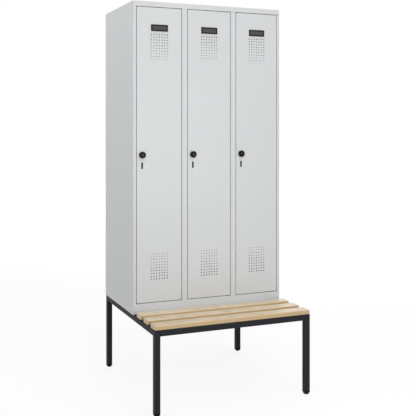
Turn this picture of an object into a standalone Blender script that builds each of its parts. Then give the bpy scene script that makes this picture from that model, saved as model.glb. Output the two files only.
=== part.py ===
"""Three-compartment steel locker standing on a bench frame with wooden seat slats.

Run it in Blender: it clears the scene and builds every sub-part as its own object.
X runs to the right, Y to the back and Z up. The origin is on the floor, under the
middle of the whole piece. All lengths are in metres.
"""
import math

import bmesh
import bpy
from mathutils import Matrix, Vector

# Whole piece
LOCKER_WIDTH = 0.900
CABINET_DEPTH = 0.500
BENCH_PROJECTION = 0.315
FRAME_HEIGHT = 0.430
CABINET_HEIGHT = 1.690
COMPARTMENTS = 3

# Fits and clearances
SEAT_GAP = 0.0003
RUNNING_GAP = 0.0003
CUT_OVERRUN = 0.002
MERGE_DISTANCE = 0.00005

# Bench frame
TUBE_SIZE = 0.030
TUBE_WALL = 0.002
TUBE_CORNER = 0.0025
FRAME_INSET = 0.002
FOOT_HEIGHT = 0.020
FOOT_ROUNDING = 0.009
FOOT_STEM_HEIGHT = 0.024

# Seat slats
SLAT_COUNT = 3
SLAT_THICKNESS = 0.025
SLAT_GAP = 0.0375
SLAT_REAR_GAP = 0.0435
SLAT_END_INSET = 0.002
SLAT_ROUNDING = 0.0055
SLAT_END_ROUNDING = 0.0020

# Cabinet sheet work
SHEET = 0.0008
FOLD_RADIUS = 0.0025
OPENING_FOLD_RADIUS = 0.0015
SIDE_POST_WIDTH = 0.0165
MID_POST_WIDTH = 0.031
HEADER_HEIGHT = 0.029
SILL_HEIGHT = 0.057
POST_RETURN = 0.022
END_RETURN = 0.018
END_RETURN_LIP = 0.010
STOP_LIP = 0.010
HEM_GAP = 0.0005
WEB_FLANGE = 0.015
BACK_RIB_WIDTH = 0.024
BACK_RIB_FLAT = 0.016
BACK_RIB_DEPTH = 0.004

# Hat shelf, coat rail and hooks
HAT_SPACE = 0.300
SHELF_SETBACK = 0.060
SHELF_FRONT_FOLD = 0.020
SHELF_REAR_FOLD = 0.012
SHELF_LIP = 0.008
RAIL_DIAMETER = 0.016
RAIL_DROP = 0.050
SOCKET_DIAMETER = 0.028
SOCKET_LENGTH = 0.008
HOOK_THICKNESS = 0.007
HOOK_BAR = 0.005
HOOK_NECK = 0.022
HOOK_BEND_RADIUS = 0.012
HOOK_LIFT = 0.012
HOOK_SPACING = 0.120

# Doors
DOOR_GAP = 0.003
DOOR_DEPTH = 0.018
DOOR_LIP = 0.010
DOOR_FOLD_RADIUS = 0.0018
STIFFENER_WIDTH = 0.024
STIFFENER_FLANGE = 0.012
STIFFENER_DEPTH = 0.012
STIFFENER_OFFSET = 0.082
STIFFENER_END_GAP = 0.014

# Door perforation, as two mirrored grids whose holes shrink towards the door's middle
GRID_COLUMNS = 7
GRID_ROWS = 10
GRID_PITCH_X = 0.0157
GRID_PITCH_Z = 0.0150
HOLE_LARGE = 0.0060
HOLE_SMALL = 0.0038
GRID_TOP_OFFSET = 0.146
GRID_BOTTOM_OFFSET = 0.1256

# Label holder
LABEL_WIDTH = 0.098
LABEL_HEIGHT = 0.036
LABEL_DEPTH = 0.004
LABEL_RIM = 0.0075
LABEL_POCKET = 0.0015
LABEL_TOP_OFFSET = 0.0925
LABEL_EDGE = 0.0020

# Hinge pins
PIN_DIAMETER = 0.005
PIN_INSET = 0.010
PIN_DEPTH = 0.006
PIN_COLLAR_DIAMETER = 0.010
PIN_HEAD_DIAMETER = 0.009
PIN_HEAD_HEIGHT = 0.002
PIN_ENGAGEMENT = 0.012
PIN_CHAMFER = 0.0008

# Turn-knob lock
LOCK_INSET = 0.031
LOCK_HEIGHT = 1.2885
KNOB_DIAMETER = 0.036
KNOB_PROJECTION = 0.014
KNOB_EDGE = 0.0022
KNOB_RIM = 0.0035
KNOB_DISH = 0.0014
SHAFT_DIAMETER = 0.010
PLUG_DIAMETER = 0.016
PLUG_LENGTH = 0.0095
PLUG_EDGE = 0.0008
KEYHOLE_HEIGHT = 0.0080
KEYHOLE_WIDTH = 0.0018
KEYHOLE_DEPTH = 0.0060
CASE_WIDTH = 0.037
CASE_TOP_RISE = 0.024
CASE_BOTTOM_DROP = 0.086
CASE_EDGE = 0.0020
CAM_CLEARANCE = 0.002
CAM_THICKNESS = 0.0025
CAM_WIDTH = 0.018
CAM_REACH = 0.029
SHAFT_END = 0.002
SLOT_DROP = 0.058
SLOT_WIDTH = 0.0082
SLOT_HEIGHT = 0.0350
SLOT_RECESS = 0.0004

# Facet counts
FOLD_SEGMENTS = 2
FOOT_SEGMENTS = 2
TUBE_SEGMENTS = 1
SLAT_SEGMENTS = 3
HOLE_SIDES = 12
PIN_HOLE_SIDES = 8
PIN_STEPS = 8
KNOB_STEPS = 16
PLUG_STEPS = 12
RAIL_STEPS = 12
HALF_ROUND_STEPS = 4
HOOK_RING_STEPS = 8

# Positions that follow from the sizes above
HALF_WIDTH = LOCKER_WIDTH / 2
TOTAL_DEPTH = CABINET_DEPTH + BENCH_PROJECTION
BENCH_FRONT_Y = -TOTAL_DEPTH / 2
REAR_Y = TOTAL_DEPTH / 2
FRONT_Y = BENCH_FRONT_Y + BENCH_PROJECTION
BASE_Z = FRAME_HEIGHT + SEAT_GAP
TOP_Z = FRAME_HEIGHT + CABINET_HEIGHT
OPENING_BOTTOM = FRAME_HEIGHT + SILL_HEIGHT
OPENING_TOP = TOP_Z - HEADER_HEIGHT
OPENING_WIDTH = (LOCKER_WIDTH - 2 * SIDE_POST_WIDTH - (COMPARTMENTS - 1) * MID_POST_WIDTH) / COMPARTMENTS
OPENING_PITCH = OPENING_WIDTH + MID_POST_WIDTH
DOOR_WIDTH = OPENING_WIDTH - 2 * DOOR_GAP
DOOR_BOTTOM = OPENING_BOTTOM + DOOR_GAP
DOOR_TOP = OPENING_TOP - DOOR_GAP
INNER_BOTTOM = BASE_Z + SHEET + SEAT_GAP
INNER_TOP = TOP_Z - SHEET - SEAT_GAP
INNER_REAR = REAR_Y - SHEET - SEAT_GAP
SHELF_TOP = TOP_Z - HAT_SPACE
RAIL_Z = SHELF_TOP - RAIL_DROP
RAIL_Y = (FRONT_Y + REAR_Y) / 2
PIN_HOLE = PIN_DIAMETER / 2 + RUNNING_GAP
CASE_FRONT = SHEET + SEAT_GAP
HEM_SPACING = 2 * SHEET + HEM_GAP
CAM_FRONT = POST_RETURN + HEM_SPACING + CAM_CLEARANCE
CASE_BACK = CAM_FRONT - SEAT_GAP

# Colour, roughness and metallic value of each finish
GREY_PAINT = ("light_grey_powder_coat", (0.60, 0.61, 0.62), 0.45, 0.0)
DARK_PAINT = ("anthracite_powder_coat", (0.030, 0.034, 0.040), 0.50, 0.0)
WOOD = ("clear_coated_beech", (0.60, 0.43, 0.26), 0.50, 0.0)
BLACK_PLASTIC = ("black_plastic", (0.012, 0.012, 0.013), 0.40, 0.0)
LABEL_PLASTIC = ("dark_grey_plastic", (0.055, 0.055, 0.057), 0.50, 0.0)
STEEL = ("zinc_plated_steel", (0.62, 0.62, 0.60), 0.35, 1.0)
CHROME = ("chromed_steel", (0.55, 0.56, 0.57), 0.20, 1.0)

PART_NAME = "locker_with_bench"


def clear_scene():
    for item in list(bpy.data.objects):
        bpy.data.objects.remove(item, do_unlink=True)


def new_collection(name):
    collection = bpy.data.collections.new(name)
    bpy.context.scene.collection.children.link(collection)
    return collection


clear_scene()
PARTS = new_collection(PART_NAME)
CUTTERS = new_collection("cutters")


def finish_material(finish):
    """The Principled material of one finish, made once."""
    name, colour, roughness, metallic = finish
    material = bpy.data.materials.get(name)
    if material is None:
        material = bpy.data.materials.new(name)
        material.use_nodes = True
        shader = material.node_tree.nodes["Principled BSDF"]
        shader.inputs["Base Color"].default_value = (*colour, 1.0)
        shader.inputs["Roughness"].default_value = roughness
        shader.inputs["Metallic"].default_value = metallic
        material.diffuse_color = (*colour, 1.0)
    return material


def add_object(name, data, finish, location=(0, 0, 0), rotation=(0, 0, 0)):
    """A sub-part in the part's collection."""
    item = bpy.data.objects.new(name, data)
    item.location = location
    item.rotation_euler = rotation
    data.materials.append(finish_material(finish))
    PARTS.objects.link(item)
    return item


def add_cutter(name, mesh):
    """A hidden shape that Boolean modifiers use."""
    item = bpy.data.objects.new(name, mesh)
    item.display_type = "WIRE"
    item.hide_render = True
    CUTTERS.objects.link(item)
    return item


def mesh_from(bm, name):
    bmesh.ops.recalc_face_normals(bm, faces=bm.faces)
    mesh = bpy.data.meshes.new(name)
    bm.to_mesh(mesh)
    bm.free()
    return mesh


def open_mesh_from(bm, name):
    """A mesh whose faces already point outwards, which may have open edges."""
    mesh = bpy.data.meshes.new(name)
    bm.to_mesh(mesh)
    bm.free()
    return mesh


def raise_face(bm, face, run, keep=False):
    """Extrudes a face along a run; a lone face is kept, to close the start."""
    grown = bmesh.ops.extrude_face_region(bm, geom=[face])["geom"]
    moved = [part for part in grown if isinstance(part, bmesh.types.BMVert)]
    bmesh.ops.translate(bm, verts=moved, vec=run)
    if not keep:
        bmesh.ops.delete(bm, geom=[face], context="FACES_ONLY")


def boolean(item, other, operation="DIFFERENCE"):
    modifier = item.modifiers.new(operation.lower(), "BOOLEAN")
    modifier.operation = operation
    modifier.solver = "EXACT"
    modifier.object = other


def solidify(item, thickness, offset=-1.0):
    modifier = item.modifiers.new("wall", "SOLIDIFY")
    modifier.thickness = thickness
    modifier.offset = offset
    modifier.use_even_offset = True


def set_origin(item, point):
    """Moves the object's origin to a world point and leaves the shape where it is."""
    item.data.transform(Matrix.Translation(-Vector(point)))
    item.location = point


def box_cells(bm, low, high):
    """Adds a box between two corners and returns its vertices."""
    size = [high[axis] - low[axis] for axis in range(3)]
    middle = [(high[axis] + low[axis]) / 2 for axis in range(3)]
    matrix = Matrix.Translation(middle) @ Matrix.Diagonal((*size, 1.0))
    return bmesh.ops.create_cube(bm, size=1.0, matrix=matrix)["verts"]


def box_mesh(name, low, high):
    bm = bmesh.new()
    box_cells(bm, low, high)
    return mesh_from(bm, name)


def long_edges(bm, axis):
    """The edges that run along one axis."""
    picked = []
    for edge in bm.edges:
        run = edge.verts[1].co - edge.verts[0].co
        if abs(run[axis]) > 0.999 * run.length:
            picked.append(edge)
    return picked


def bevel(bm, edges, radius, segments):
    bmesh.ops.bevel(bm, geom=edges, offset=radius, offset_type="OFFSET", segments=segments,
                    profile=0.5, affect="EDGES", clamp_overlap=True)


def rod(bm, start, end, radius, sides):
    """Adds a closed cylinder between two points."""
    start = Vector(start)
    run = Vector(end) - start
    turn = run.to_track_quat("Z", "Y").to_matrix().to_4x4()
    matrix = Matrix.Translation(start + run / 2) @ turn
    bmesh.ops.create_cone(bm, cap_ends=True, segments=sides, radius1=radius, radius2=radius,
                          depth=run.length, matrix=matrix)


def arc(centre, radius, start, end, steps):
    """Points on an arc, both ends included; angles in degrees."""
    points = []
    for step in range(steps + 1):
        angle = math.radians(start + (end - start) * step / steps)
        points.append((centre[0] + radius * math.cos(angle), centre[1] + radius * math.sin(angle)))
    return points


def fold_points(corners):
    """A sheet's fold line: each corner is (a, b, radius), and a radius of 0 is a sharp fold."""
    points = []
    last = len(corners) - 1
    for index, (a, b, radius) in enumerate(corners):
        if radius == 0 or index in (0, last):
            points.append((a, b))
            continue
        here = Vector((a, b))
        back = (Vector(corners[index - 1][:2]) - here).normalized()
        ahead = (Vector(corners[index + 1][:2]) - here).normalized()
        centre = here + (back + ahead) * radius
        for step in range(FOLD_SEGMENTS + 1):
            angle = math.pi / 2 * step / FOLD_SEGMENTS
            points.append(tuple(centre - ahead * radius * math.cos(angle) - back * radius * math.sin(angle)))
    return points


def folded_sheet(name, corners, low, high, axis):
    """A folded sheet: the fold line is run along an axis, with its material on the line's left.

    Along Z the line lies in X and Y, and along X it lies in Y and Z.
    """
    bm = bmesh.new()
    line = []
    for a, b in fold_points(corners):
        place = (a, b, low) if axis == "Z" else (low, a, b)
        line.append(bm.verts.new(place))
    edges = [bm.edges.new(pair) for pair in zip(line, line[1:])]
    grown = bmesh.ops.extrude_edge_only(bm, edges=edges)["geom"]
    moved = [part for part in grown if isinstance(part, bmesh.types.BMVert)]
    run = (0, 0, high - low) if axis == "Z" else (high - low, 0, 0)
    bmesh.ops.translate(bm, verts=moved, vec=run)
    bm.normal_update()
    (a, b), (next_a, next_b) = fold_points(corners)[:2]
    right_a, right_b = next_b - b, a - next_a
    outward = Vector((right_a, right_b, 0) if axis == "Z" else (0, right_a, right_b))
    if edges[0].link_faces[0].normal.dot(outward) < 0:
        bmesh.ops.reverse_faces(bm, faces=bm.faces)
    item = add_object(name, open_mesh_from(bm, name), GREY_PAINT)
    solidify(item, SHEET)
    return item


def turned(name, profile, steps, finish, location, rotation=(0, 0, 0)):
    """A turned piece: a profile of (radius, height) from its top to its bottom."""
    mesh = bpy.data.meshes.new(name)
    points = [(radius, 0, height) for radius, height in profile]
    edges = [(index, index + 1) for index in range(len(points) - 1)]
    mesh.from_pydata(points, edges, [])
    item = add_object(name, mesh, finish, location, rotation)
    screw = item.modifiers.new("turn", "SCREW")
    screw.axis = "Z"
    screw.angle = math.tau
    screw.steps = steps
    screw.render_steps = steps
    screw.use_merge_vertices = True
    screw.merge_threshold = MERGE_DISTANCE
    return item


def flat_outline(name, outlines, thickness, finish, location, rotation):
    """A flat piece: closed outlines in X and Y, the inner ones being holes."""
    curve = bpy.data.curves.new(name, "CURVE")
    curve.dimensions = "2D"
    curve.fill_mode = "BOTH"
    curve.extrude = thickness / 2
    for outline in outlines:
        spline = curve.splines.new("POLY")
        spline.points.add(len(outline) - 1)
        for point, (x, y) in zip(spline.points, outline):
            point.co = (x, y, 0, 1)
        spline.use_cyclic_u = True
    return add_object(name, curve, finish, location, rotation)


# Bench frame

FRAME_HALF_WIDTH = HALF_WIDTH - FRAME_INSET
FRAME_REAR_Y = REAR_Y - FRAME_INSET
LEG_X = FRAME_HALF_WIDTH - TUBE_SIZE / 2
LEG_FRONT_Y = BENCH_FRONT_Y + TUBE_SIZE / 2
LEG_REAR_Y = FRAME_REAR_Y - TUBE_SIZE / 2


def tube(name, low, high, axis, open_ends):
    """A square tube between two corners, along an axis, with the named ends open."""
    bm = bmesh.new()
    box_cells(bm, low, high)
    bevel(bm, long_edges(bm, axis), TUBE_CORNER, TUBE_SEGMENTS)
    bm.normal_update()
    for sign in open_ends:
        end = [face for face in bm.faces if face.normal[axis] * sign > 0.5]
        bmesh.ops.delete(bm, geom=end, context="FACES_ONLY")
    item = add_object(name, open_mesh_from(bm, name), DARK_PAINT)
    solidify(item, TUBE_WALL)
    return item


def build_foot(name, x, y):
    """A plastic cap with a rounded underside and a stem that plugs into the leg."""
    half = TUBE_SIZE / 2
    bm = bmesh.new()
    box_cells(bm, (-half, -half, 0), (half, half, FOOT_HEIGHT))
    bevel(bm, long_edges(bm, 2), TUBE_CORNER, TUBE_SEGMENTS)
    bm.normal_update()
    underside = min(bm.faces, key=lambda face: face.normal.z)
    bevel(bm, list(underside.edges), FOOT_ROUNDING, FOOT_SEGMENTS)
    bm.normal_update()
    top = max(bm.faces, key=lambda face: face.normal.z)
    bmesh.ops.inset_region(bm, faces=[top], thickness=TUBE_WALL + RUNNING_GAP, use_even_offset=True)
    raise_face(bm, top, (0, 0, FOOT_STEM_HEIGHT))
    add_object(name, mesh_from(bm, name), BLACK_PLASTIC, (x, y, 0))


def build_legs():
    half = TUBE_SIZE / 2
    for x, side in ((-LEG_X, "left"), (LEG_X, "right")):
        for y, end in ((LEG_FRONT_Y, "front"), (LEG_REAR_Y, "rear")):
            low = (x - half, y - half, FOOT_HEIGHT + SEAT_GAP)
            high = (x + half, y + half, FRAME_HEIGHT)
            tube(f"leg_{end}_{side}", low, high, 2, (-1,))
            build_foot(f"foot_cap_{end}_{side}", x, y)


def build_rails():
    """Front, rear and middle rails run along X, and the side rails along Y."""
    half = TUBE_SIZE / 2
    bottom = FRAME_HEIGHT - TUBE_SIZE
    run_x = LEG_X - half - SEAT_GAP
    middle_y = FRONT_Y + half
    for name, y in (("rail_front", LEG_FRONT_Y), ("rail_rear", LEG_REAR_Y), ("rail_middle", middle_y)):
        tube(name, (-run_x, y - half, bottom), (run_x, y + half, FRAME_HEIGHT), 0, (-1, 1))
    front = LEG_FRONT_Y + half + SEAT_GAP
    rear = LEG_REAR_Y - half - SEAT_GAP
    for name, x in (("rail_left", -LEG_X), ("rail_right", LEG_X)):
        tube(name, (x - half, front, bottom), (x + half, rear, FRAME_HEIGHT), 1, (-1, 1))


def build_slats():
    """Seat slats with rounded long edges, laid on the side rails; the first is flush with the frame."""
    room = BENCH_PROJECTION - SLAT_REAR_GAP - (SLAT_COUNT - 1) * SLAT_GAP
    width = room / SLAT_COUNT
    half_length = FRAME_HALF_WIDTH - SLAT_END_INSET
    for index in range(SLAT_COUNT):
        front = BENCH_FRONT_Y + index * (width + SLAT_GAP)
        bottom = FRAME_HEIGHT + SEAT_GAP
        top = bottom + SLAT_THICKNESS
        bm = bmesh.new()
        box_cells(bm, (-half_length, front, bottom), (half_length, front + width, top))
        bevel(bm, long_edges(bm, 0), SLAT_ROUNDING, SLAT_SEGMENTS)
        bm.normal_update()
        rims = {edge for face in bm.faces if abs(face.normal.x) > 0.9 for edge in face.edges}
        bevel(bm, list(rims), SLAT_END_ROUNDING, 1)
        add_object(f"slat_{index + 1}", mesh_from(bm, f"slat_{index + 1}"), WOOD)


# Cabinet

RUN_HALF_WIDTH = HALF_WIDTH - SHEET - SEAT_GAP


def opening_left(index):
    return -HALF_WIDTH + SIDE_POST_WIDTH + index * OPENING_PITCH


def wall_faces(index):
    """The faces of the walls on the left and right of a compartment."""
    centre = opening_left(index) - MID_POST_WIDTH / 2
    left = -HALF_WIDTH + SHEET if index == 0 else centre + SHEET / 2
    next_centre = centre + OPENING_PITCH
    last = index == COMPARTMENTS - 1
    right = HALF_WIDTH - SHEET if last else next_centre - SHEET / 2
    return left, right


def stop_hem(x, inner_end):
    """A hemmed door stop that stands out from a post's return, to the right."""
    front = FRONT_Y + POST_RETURN
    back = front + HEM_SPACING
    return [(x, front, 0), (x + STOP_LIP, front, 0), (x + STOP_LIP, back, 0), (inner_end, back, 0)]


def end_clearance():
    """A cutter that lets the header and the sill pass in front of the posts."""
    bm = bmesh.new()
    half = RUN_HALF_WIDTH + SEAT_GAP / 2
    front = FRONT_Y - CUT_OVERRUN
    step = FRONT_Y + END_RETURN + SEAT_GAP
    back = REAR_Y + CUT_OVERRUN
    for inner, sheet, outer in ((OPENING_TOP - SEAT_GAP, INNER_TOP, TOP_Z + CUT_OVERRUN),
                                (OPENING_BOTTOM + SEAT_GAP, INNER_BOTTOM, BASE_Z - CUT_OVERRUN)):
        outline = [(front, inner), (step, inner), (step, sheet), (back, sheet), (back, outer), (front, outer)]
        verts = [bm.verts.new((-half, y, z)) for y, z in outline]
        raise_face(bm, bm.faces.new(verts), (2 * half, 0, 0), keep=True)
    return add_cutter("end_clearance", mesh_from(bm, "end_clearance"))


def build_walls():
    """Side panels and partitions, each folded from one sheet with its post."""
    clearance = end_clearance()
    edge = HALF_WIDTH - SIDE_POST_WIDTH
    back = FRONT_Y + POST_RETURN
    left_line = [(-HALF_WIDTH, REAR_Y, 0), (-HALF_WIDTH, FRONT_Y, FOLD_RADIUS),
                 (-edge, FRONT_Y, OPENING_FOLD_RADIUS)]
    walls = [folded_sheet("side_panel_left", left_line + stop_hem(-edge, -edge), BASE_Z, TOP_Z, "Z")]
    right_line = [(edge, back, 0), (edge, FRONT_Y, OPENING_FOLD_RADIUS),
                  (HALF_WIDTH, FRONT_Y, FOLD_RADIUS), (HALF_WIDTH, REAR_Y, 0)]
    walls.append(folded_sheet("side_panel_right", right_line, BASE_Z, TOP_Z, "Z"))
    for index in range(1, COMPARTMENTS):
        right_edge = opening_left(index)
        left_edge = right_edge - MID_POST_WIDTH
        web = (left_edge + right_edge) / 2 + SHEET / 2
        line = [(left_edge, back, 0), (left_edge, FRONT_Y, OPENING_FOLD_RADIUS),
                (right_edge, FRONT_Y, OPENING_FOLD_RADIUS), *stop_hem(right_edge, web),
                (web, INNER_REAR - SHEET, 0), (web + WEB_FLANGE, INNER_REAR - SHEET, 0)]
        walls.append(folded_sheet(f"partition_{index}", line, BASE_Z, TOP_Z, "Z"))
    for wall in walls:
        boolean(wall, clearance)


def build_ends():
    """The top panel with its header, and the bottom panel with its sill."""
    return_y = FRONT_Y + END_RETURN
    top_line = [(REAR_Y, TOP_Z, 0), (FRONT_Y, TOP_Z, FOLD_RADIUS),
                (FRONT_Y, OPENING_TOP, OPENING_FOLD_RADIUS), (return_y, OPENING_TOP, 0),
                (return_y, OPENING_TOP + END_RETURN_LIP, 0)]
    bottom_line = [(return_y, OPENING_BOTTOM - END_RETURN_LIP, 0), (return_y, OPENING_BOTTOM, 0),
                   (FRONT_Y, OPENING_BOTTOM, OPENING_FOLD_RADIUS), (FRONT_Y, BASE_Z, FOLD_RADIUS),
                   (REAR_Y, BASE_Z, 0)]
    for name, line, edge_z in (("top_panel", top_line, OPENING_TOP),
                               ("bottom_panel", bottom_line, OPENING_BOTTOM)):
        panel = folded_sheet(name, line, -RUN_HALF_WIDTH, RUN_HALF_WIDTH, "X")
        bm = bmesh.new()
        for index in range(COMPARTMENTS):
            x, y = pin_place(index)
            rod(bm, (x, y, edge_z - CUT_OVERRUN), (x, y, edge_z + CUT_OVERRUN), PIN_HOLE, PIN_HOLE_SIDES)
        boolean(panel, add_cutter(f"{name}_pin_holes", mesh_from(bm, f"{name}_pin_holes")))


def build_back():
    """The back panel, with a pressed stiffening rib behind each compartment."""
    line = [(RUN_HALF_WIDTH, REAR_Y - WEB_FLANGE, 0), (RUN_HALF_WIDTH, REAR_Y, FOLD_RADIUS)]
    for index in reversed(range(COMPARTMENTS)):
        centre = opening_left(index) + OPENING_WIDTH / 2
        ramp = (BACK_RIB_WIDTH - BACK_RIB_FLAT) / 2
        floor = REAR_Y - BACK_RIB_DEPTH
        right = centre + BACK_RIB_WIDTH / 2
        left = centre - BACK_RIB_WIDTH / 2
        line += [(right, REAR_Y, 0), (right - ramp, floor, 0), (left + ramp, floor, 0), (left, REAR_Y, 0)]
    line += [(-RUN_HALF_WIDTH, REAR_Y, FOLD_RADIUS), (-RUN_HALF_WIDTH, REAR_Y - WEB_FLANGE, 0)]
    folded_sheet("back_panel", line, INNER_BOTTOM, INNER_TOP, "Z")


def build_fittings(index):
    """The hat shelf, coat rail and two sliding hooks of one compartment."""
    left, right = wall_faces(index)
    number = index + 1
    front = FRONT_Y + SHELF_SETBACK
    rear = REAR_Y - WEB_FLANGE - SEAT_GAP
    line = [(rear, SHELF_TOP - SHELF_REAR_FOLD, 0), (rear, SHELF_TOP, 0),
            (front, SHELF_TOP, OPENING_FOLD_RADIUS), (front, SHELF_TOP - SHELF_FRONT_FOLD, 0),
            (front + SHELF_LIP, SHELF_TOP - SHELF_FRONT_FOLD, 0)]
    folded_sheet(f"hat_shelf_{number}", line, left + SEAT_GAP, right - SEAT_GAP, "X")

    middle = (left + right) / 2
    half = (right - left) / 2 - SEAT_GAP
    rail = RAIL_DIAMETER / 2
    socket = SOCKET_DIAMETER / 2
    shoulder = half - SOCKET_LENGTH
    profile = [(0, half), (socket, half), (socket, shoulder), (rail, shoulder),
               (rail, -shoulder), (socket, -shoulder), (socket, -half), (0, -half)]
    turned(f"coat_rail_{number}", profile, RAIL_STEPS, STEEL, (middle, RAIL_Y, RAIL_Z), (0, math.pi / 2, 0))
    for sign, side in ((-1, "left"), (1, "right")):
        place = (middle + sign * HOOK_SPACING / 2, RAIL_Y, RAIL_Z)
        flat_outline(f"coat_hook_{number}_{side}", hook_outlines(), HOOK_THICKNESS, BLACK_PLASTIC,
                     place, (math.pi / 2, 0, math.pi / 2))


def hook_outlines():
    """A ring round the rail, a neck and an upturned hook, with the ring's centre at zero."""
    inner = RAIL_DIAMETER / 2 + RUNNING_GAP
    outer = inner + HOOK_BAR
    half = HOOK_BAR / 2
    lean = math.degrees(math.asin(half / outer))
    bend_y = -outer - HOOK_NECK
    bend = (-HOOK_BEND_RADIUS, bend_y)
    tip = (-2 * HOOK_BEND_RADIUS, bend_y + HOOK_LIFT)
    outline = arc((0, 0), outer, lean - 90, 270 - lean, HOOK_RING_STEPS)
    outline += arc(bend, HOOK_BEND_RADIUS - half, 0, -180, HALF_ROUND_STEPS)
    outline += arc(tip, half, 0, 180, FOLD_SEGMENTS)
    outline += arc(bend, HOOK_BEND_RADIUS + half, 180, 360, HALF_ROUND_STEPS)
    return outline, arc((0, 0), inner, 0, 360, RAIL_STEPS)[:-1]


# Doors and locks

def pin_place(index):
    """The hinge axis of a door in X and Y, near the door's right edge."""
    door_right = opening_left(index) + OPENING_WIDTH - DOOR_GAP
    return door_right - PIN_INSET, FRONT_Y + PIN_DEPTH


def lock_x(index):
    return opening_left(index) + DOOR_GAP + LOCK_INSET


def obround(width, height):
    """An upright slot outline with round ends, centred on zero."""
    radius = width / 2
    rise = height / 2 - radius
    return arc((0, rise), radius, 0, 180, HALF_ROUND_STEPS) + arc((0, -rise), radius, 180, 360, HALF_ROUND_STEPS)


def prism(bm, outline, x, z, front, back):
    """Adds an outline in X and Z as a solid that runs along Y."""
    verts = [bm.verts.new((x + a, front, z + b)) for a, b in outline]
    raise_face(bm, bm.faces.new(verts), (0, back - front, 0), keep=True)


def grid_holes(bm, centre_x):
    """The two graded grids: the largest holes lie towards the door's ends."""
    front = FRONT_Y - CUT_OVERRUN
    back = FRONT_Y + SHEET + CUT_OVERRUN
    for row in range(GRID_ROWS):
        half = (HOLE_LARGE + (HOLE_SMALL - HOLE_LARGE) * row / (GRID_ROWS - 1)) / 2
        rows_z = (DOOR_TOP - GRID_TOP_OFFSET - row * GRID_PITCH_Z,
                  DOOR_BOTTOM + GRID_BOTTOM_OFFSET + row * GRID_PITCH_Z)
        for column in range(GRID_COLUMNS):
            x = centre_x + (column - (GRID_COLUMNS - 1) / 2) * GRID_PITCH_X
            for z in rows_z:
                box_cells(bm, (x - half, front, z - half), (x + half, back, z + half))


def door_cutter(index):
    """Everything that is punched out of a door, in one cutter."""
    left = opening_left(index) + DOOR_GAP
    pin_x, pin_y = pin_place(index)
    bm = bmesh.new()
    grid_holes(bm, left + DOOR_WIDTH / 2)
    front = FRONT_Y - CUT_OVERRUN
    back = FRONT_Y + SHEET + CUT_OVERRUN
    rod(bm, (lock_x(index), front, LOCK_HEIGHT), (lock_x(index), back, LOCK_HEIGHT),
        SHAFT_DIAMETER / 2 + 2 * RUNNING_GAP, HOLE_SIDES)
    prism(bm, obround(SLOT_WIDTH, SLOT_HEIGHT), lock_x(index), LOCK_HEIGHT - SLOT_DROP, front, back)
    for edge_z in (DOOR_BOTTOM, DOOR_TOP):
        rod(bm, (pin_x, pin_y, edge_z - CUT_OVERRUN), (pin_x, pin_y, edge_z + CUT_OVERRUN),
            PIN_HOLE, PIN_HOLE_SIDES)
    name = f"door_{index + 1}_punching"
    return add_cutter(name, mesh_from(bm, name))


def door_stiffener(index):
    """A hat section that is welded to the inside of the door, on its hinge side."""
    centre = opening_left(index) + DOOR_GAP + DOOR_WIDTH / 2 + STIFFENER_OFFSET
    root = FRONT_Y + SHEET * 3 / 2
    crown = root + STIFFENER_DEPTH
    half = STIFFENER_WIDTH / 2
    foot = half + STIFFENER_FLANGE
    line = [(centre + foot, root, 0), (centre + half, root, 0), (centre + half, crown, 0),
            (centre - half, crown, 0), (centre - half, root, 0), (centre - foot, root, 0)]
    bottom = DOOR_BOTTOM + STIFFENER_END_GAP
    item = folded_sheet(f"door_{index + 1}_stiffener", line, bottom, DOOR_TOP - STIFFENER_END_GAP, "Z")
    PARTS.objects.unlink(item)
    CUTTERS.objects.link(item)
    item.display_type = "WIRE"
    item.hide_render = True
    return item


def build_door(index):
    """A folded door pan, flush in its opening, with perforation and punched lock holes."""
    left = opening_left(index) + DOOR_GAP
    bm = bmesh.new()
    box_cells(bm, (left, FRONT_Y, DOOR_BOTTOM), (left + DOOR_WIDTH, FRONT_Y + DOOR_DEPTH, DOOR_TOP))
    bm.normal_update()
    back = max(bm.faces, key=lambda face: face.normal.y)
    front = min(bm.faces, key=lambda face: face.normal.y)
    front_edges = list(front.edges)
    bmesh.ops.inset_region(bm, faces=[back], thickness=DOOR_LIP, use_even_offset=True)
    bmesh.ops.delete(bm, geom=[back], context="FACES_ONLY")
    bevel(bm, front_edges, DOOR_FOLD_RADIUS, FOLD_SEGMENTS)
    name = f"door_panel_{index + 1}"
    door = add_object(name, open_mesh_from(bm, name), GREY_PAINT)
    pin_x, pin_y = pin_place(index)
    set_origin(door, (pin_x, pin_y, DOOR_BOTTOM))
    solidify(door, SHEET)
    boolean(door, door_stiffener(index), "UNION")
    boolean(door, door_cutter(index))


def pin_profile():
    """A riveted pin, with its head inside the cabinet and a collar in the door gap."""
    shank = PIN_DIAMETER / 2
    head = PIN_HEAD_DIAMETER / 2
    collar = PIN_COLLAR_DIAMETER / 2
    seat = SHEET + SEAT_GAP
    crown = seat + PIN_HEAD_HEIGHT
    collar_end = -DOOR_GAP + SEAT_GAP
    tip = -DOOR_GAP - SHEET - PIN_ENGAGEMENT
    return [(0, crown), (head - PIN_CHAMFER, crown), (head, seat), (shank, seat), (shank, -SEAT_GAP),
            (collar, -SEAT_GAP), (collar, collar_end), (shank, collar_end), (shank - PIN_CHAMFER, tip), (0, tip)]


def build_pins(index):
    x, y = pin_place(index)
    number = index + 1
    turned(f"hinge_pin_upper_{number}", pin_profile(), PIN_STEPS, STEEL, (x, y, OPENING_TOP))
    turned(f"hinge_pin_lower_{number}", pin_profile(), PIN_STEPS, STEEL, (x, y, OPENING_BOTTOM), (math.pi, 0, 0))


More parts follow.
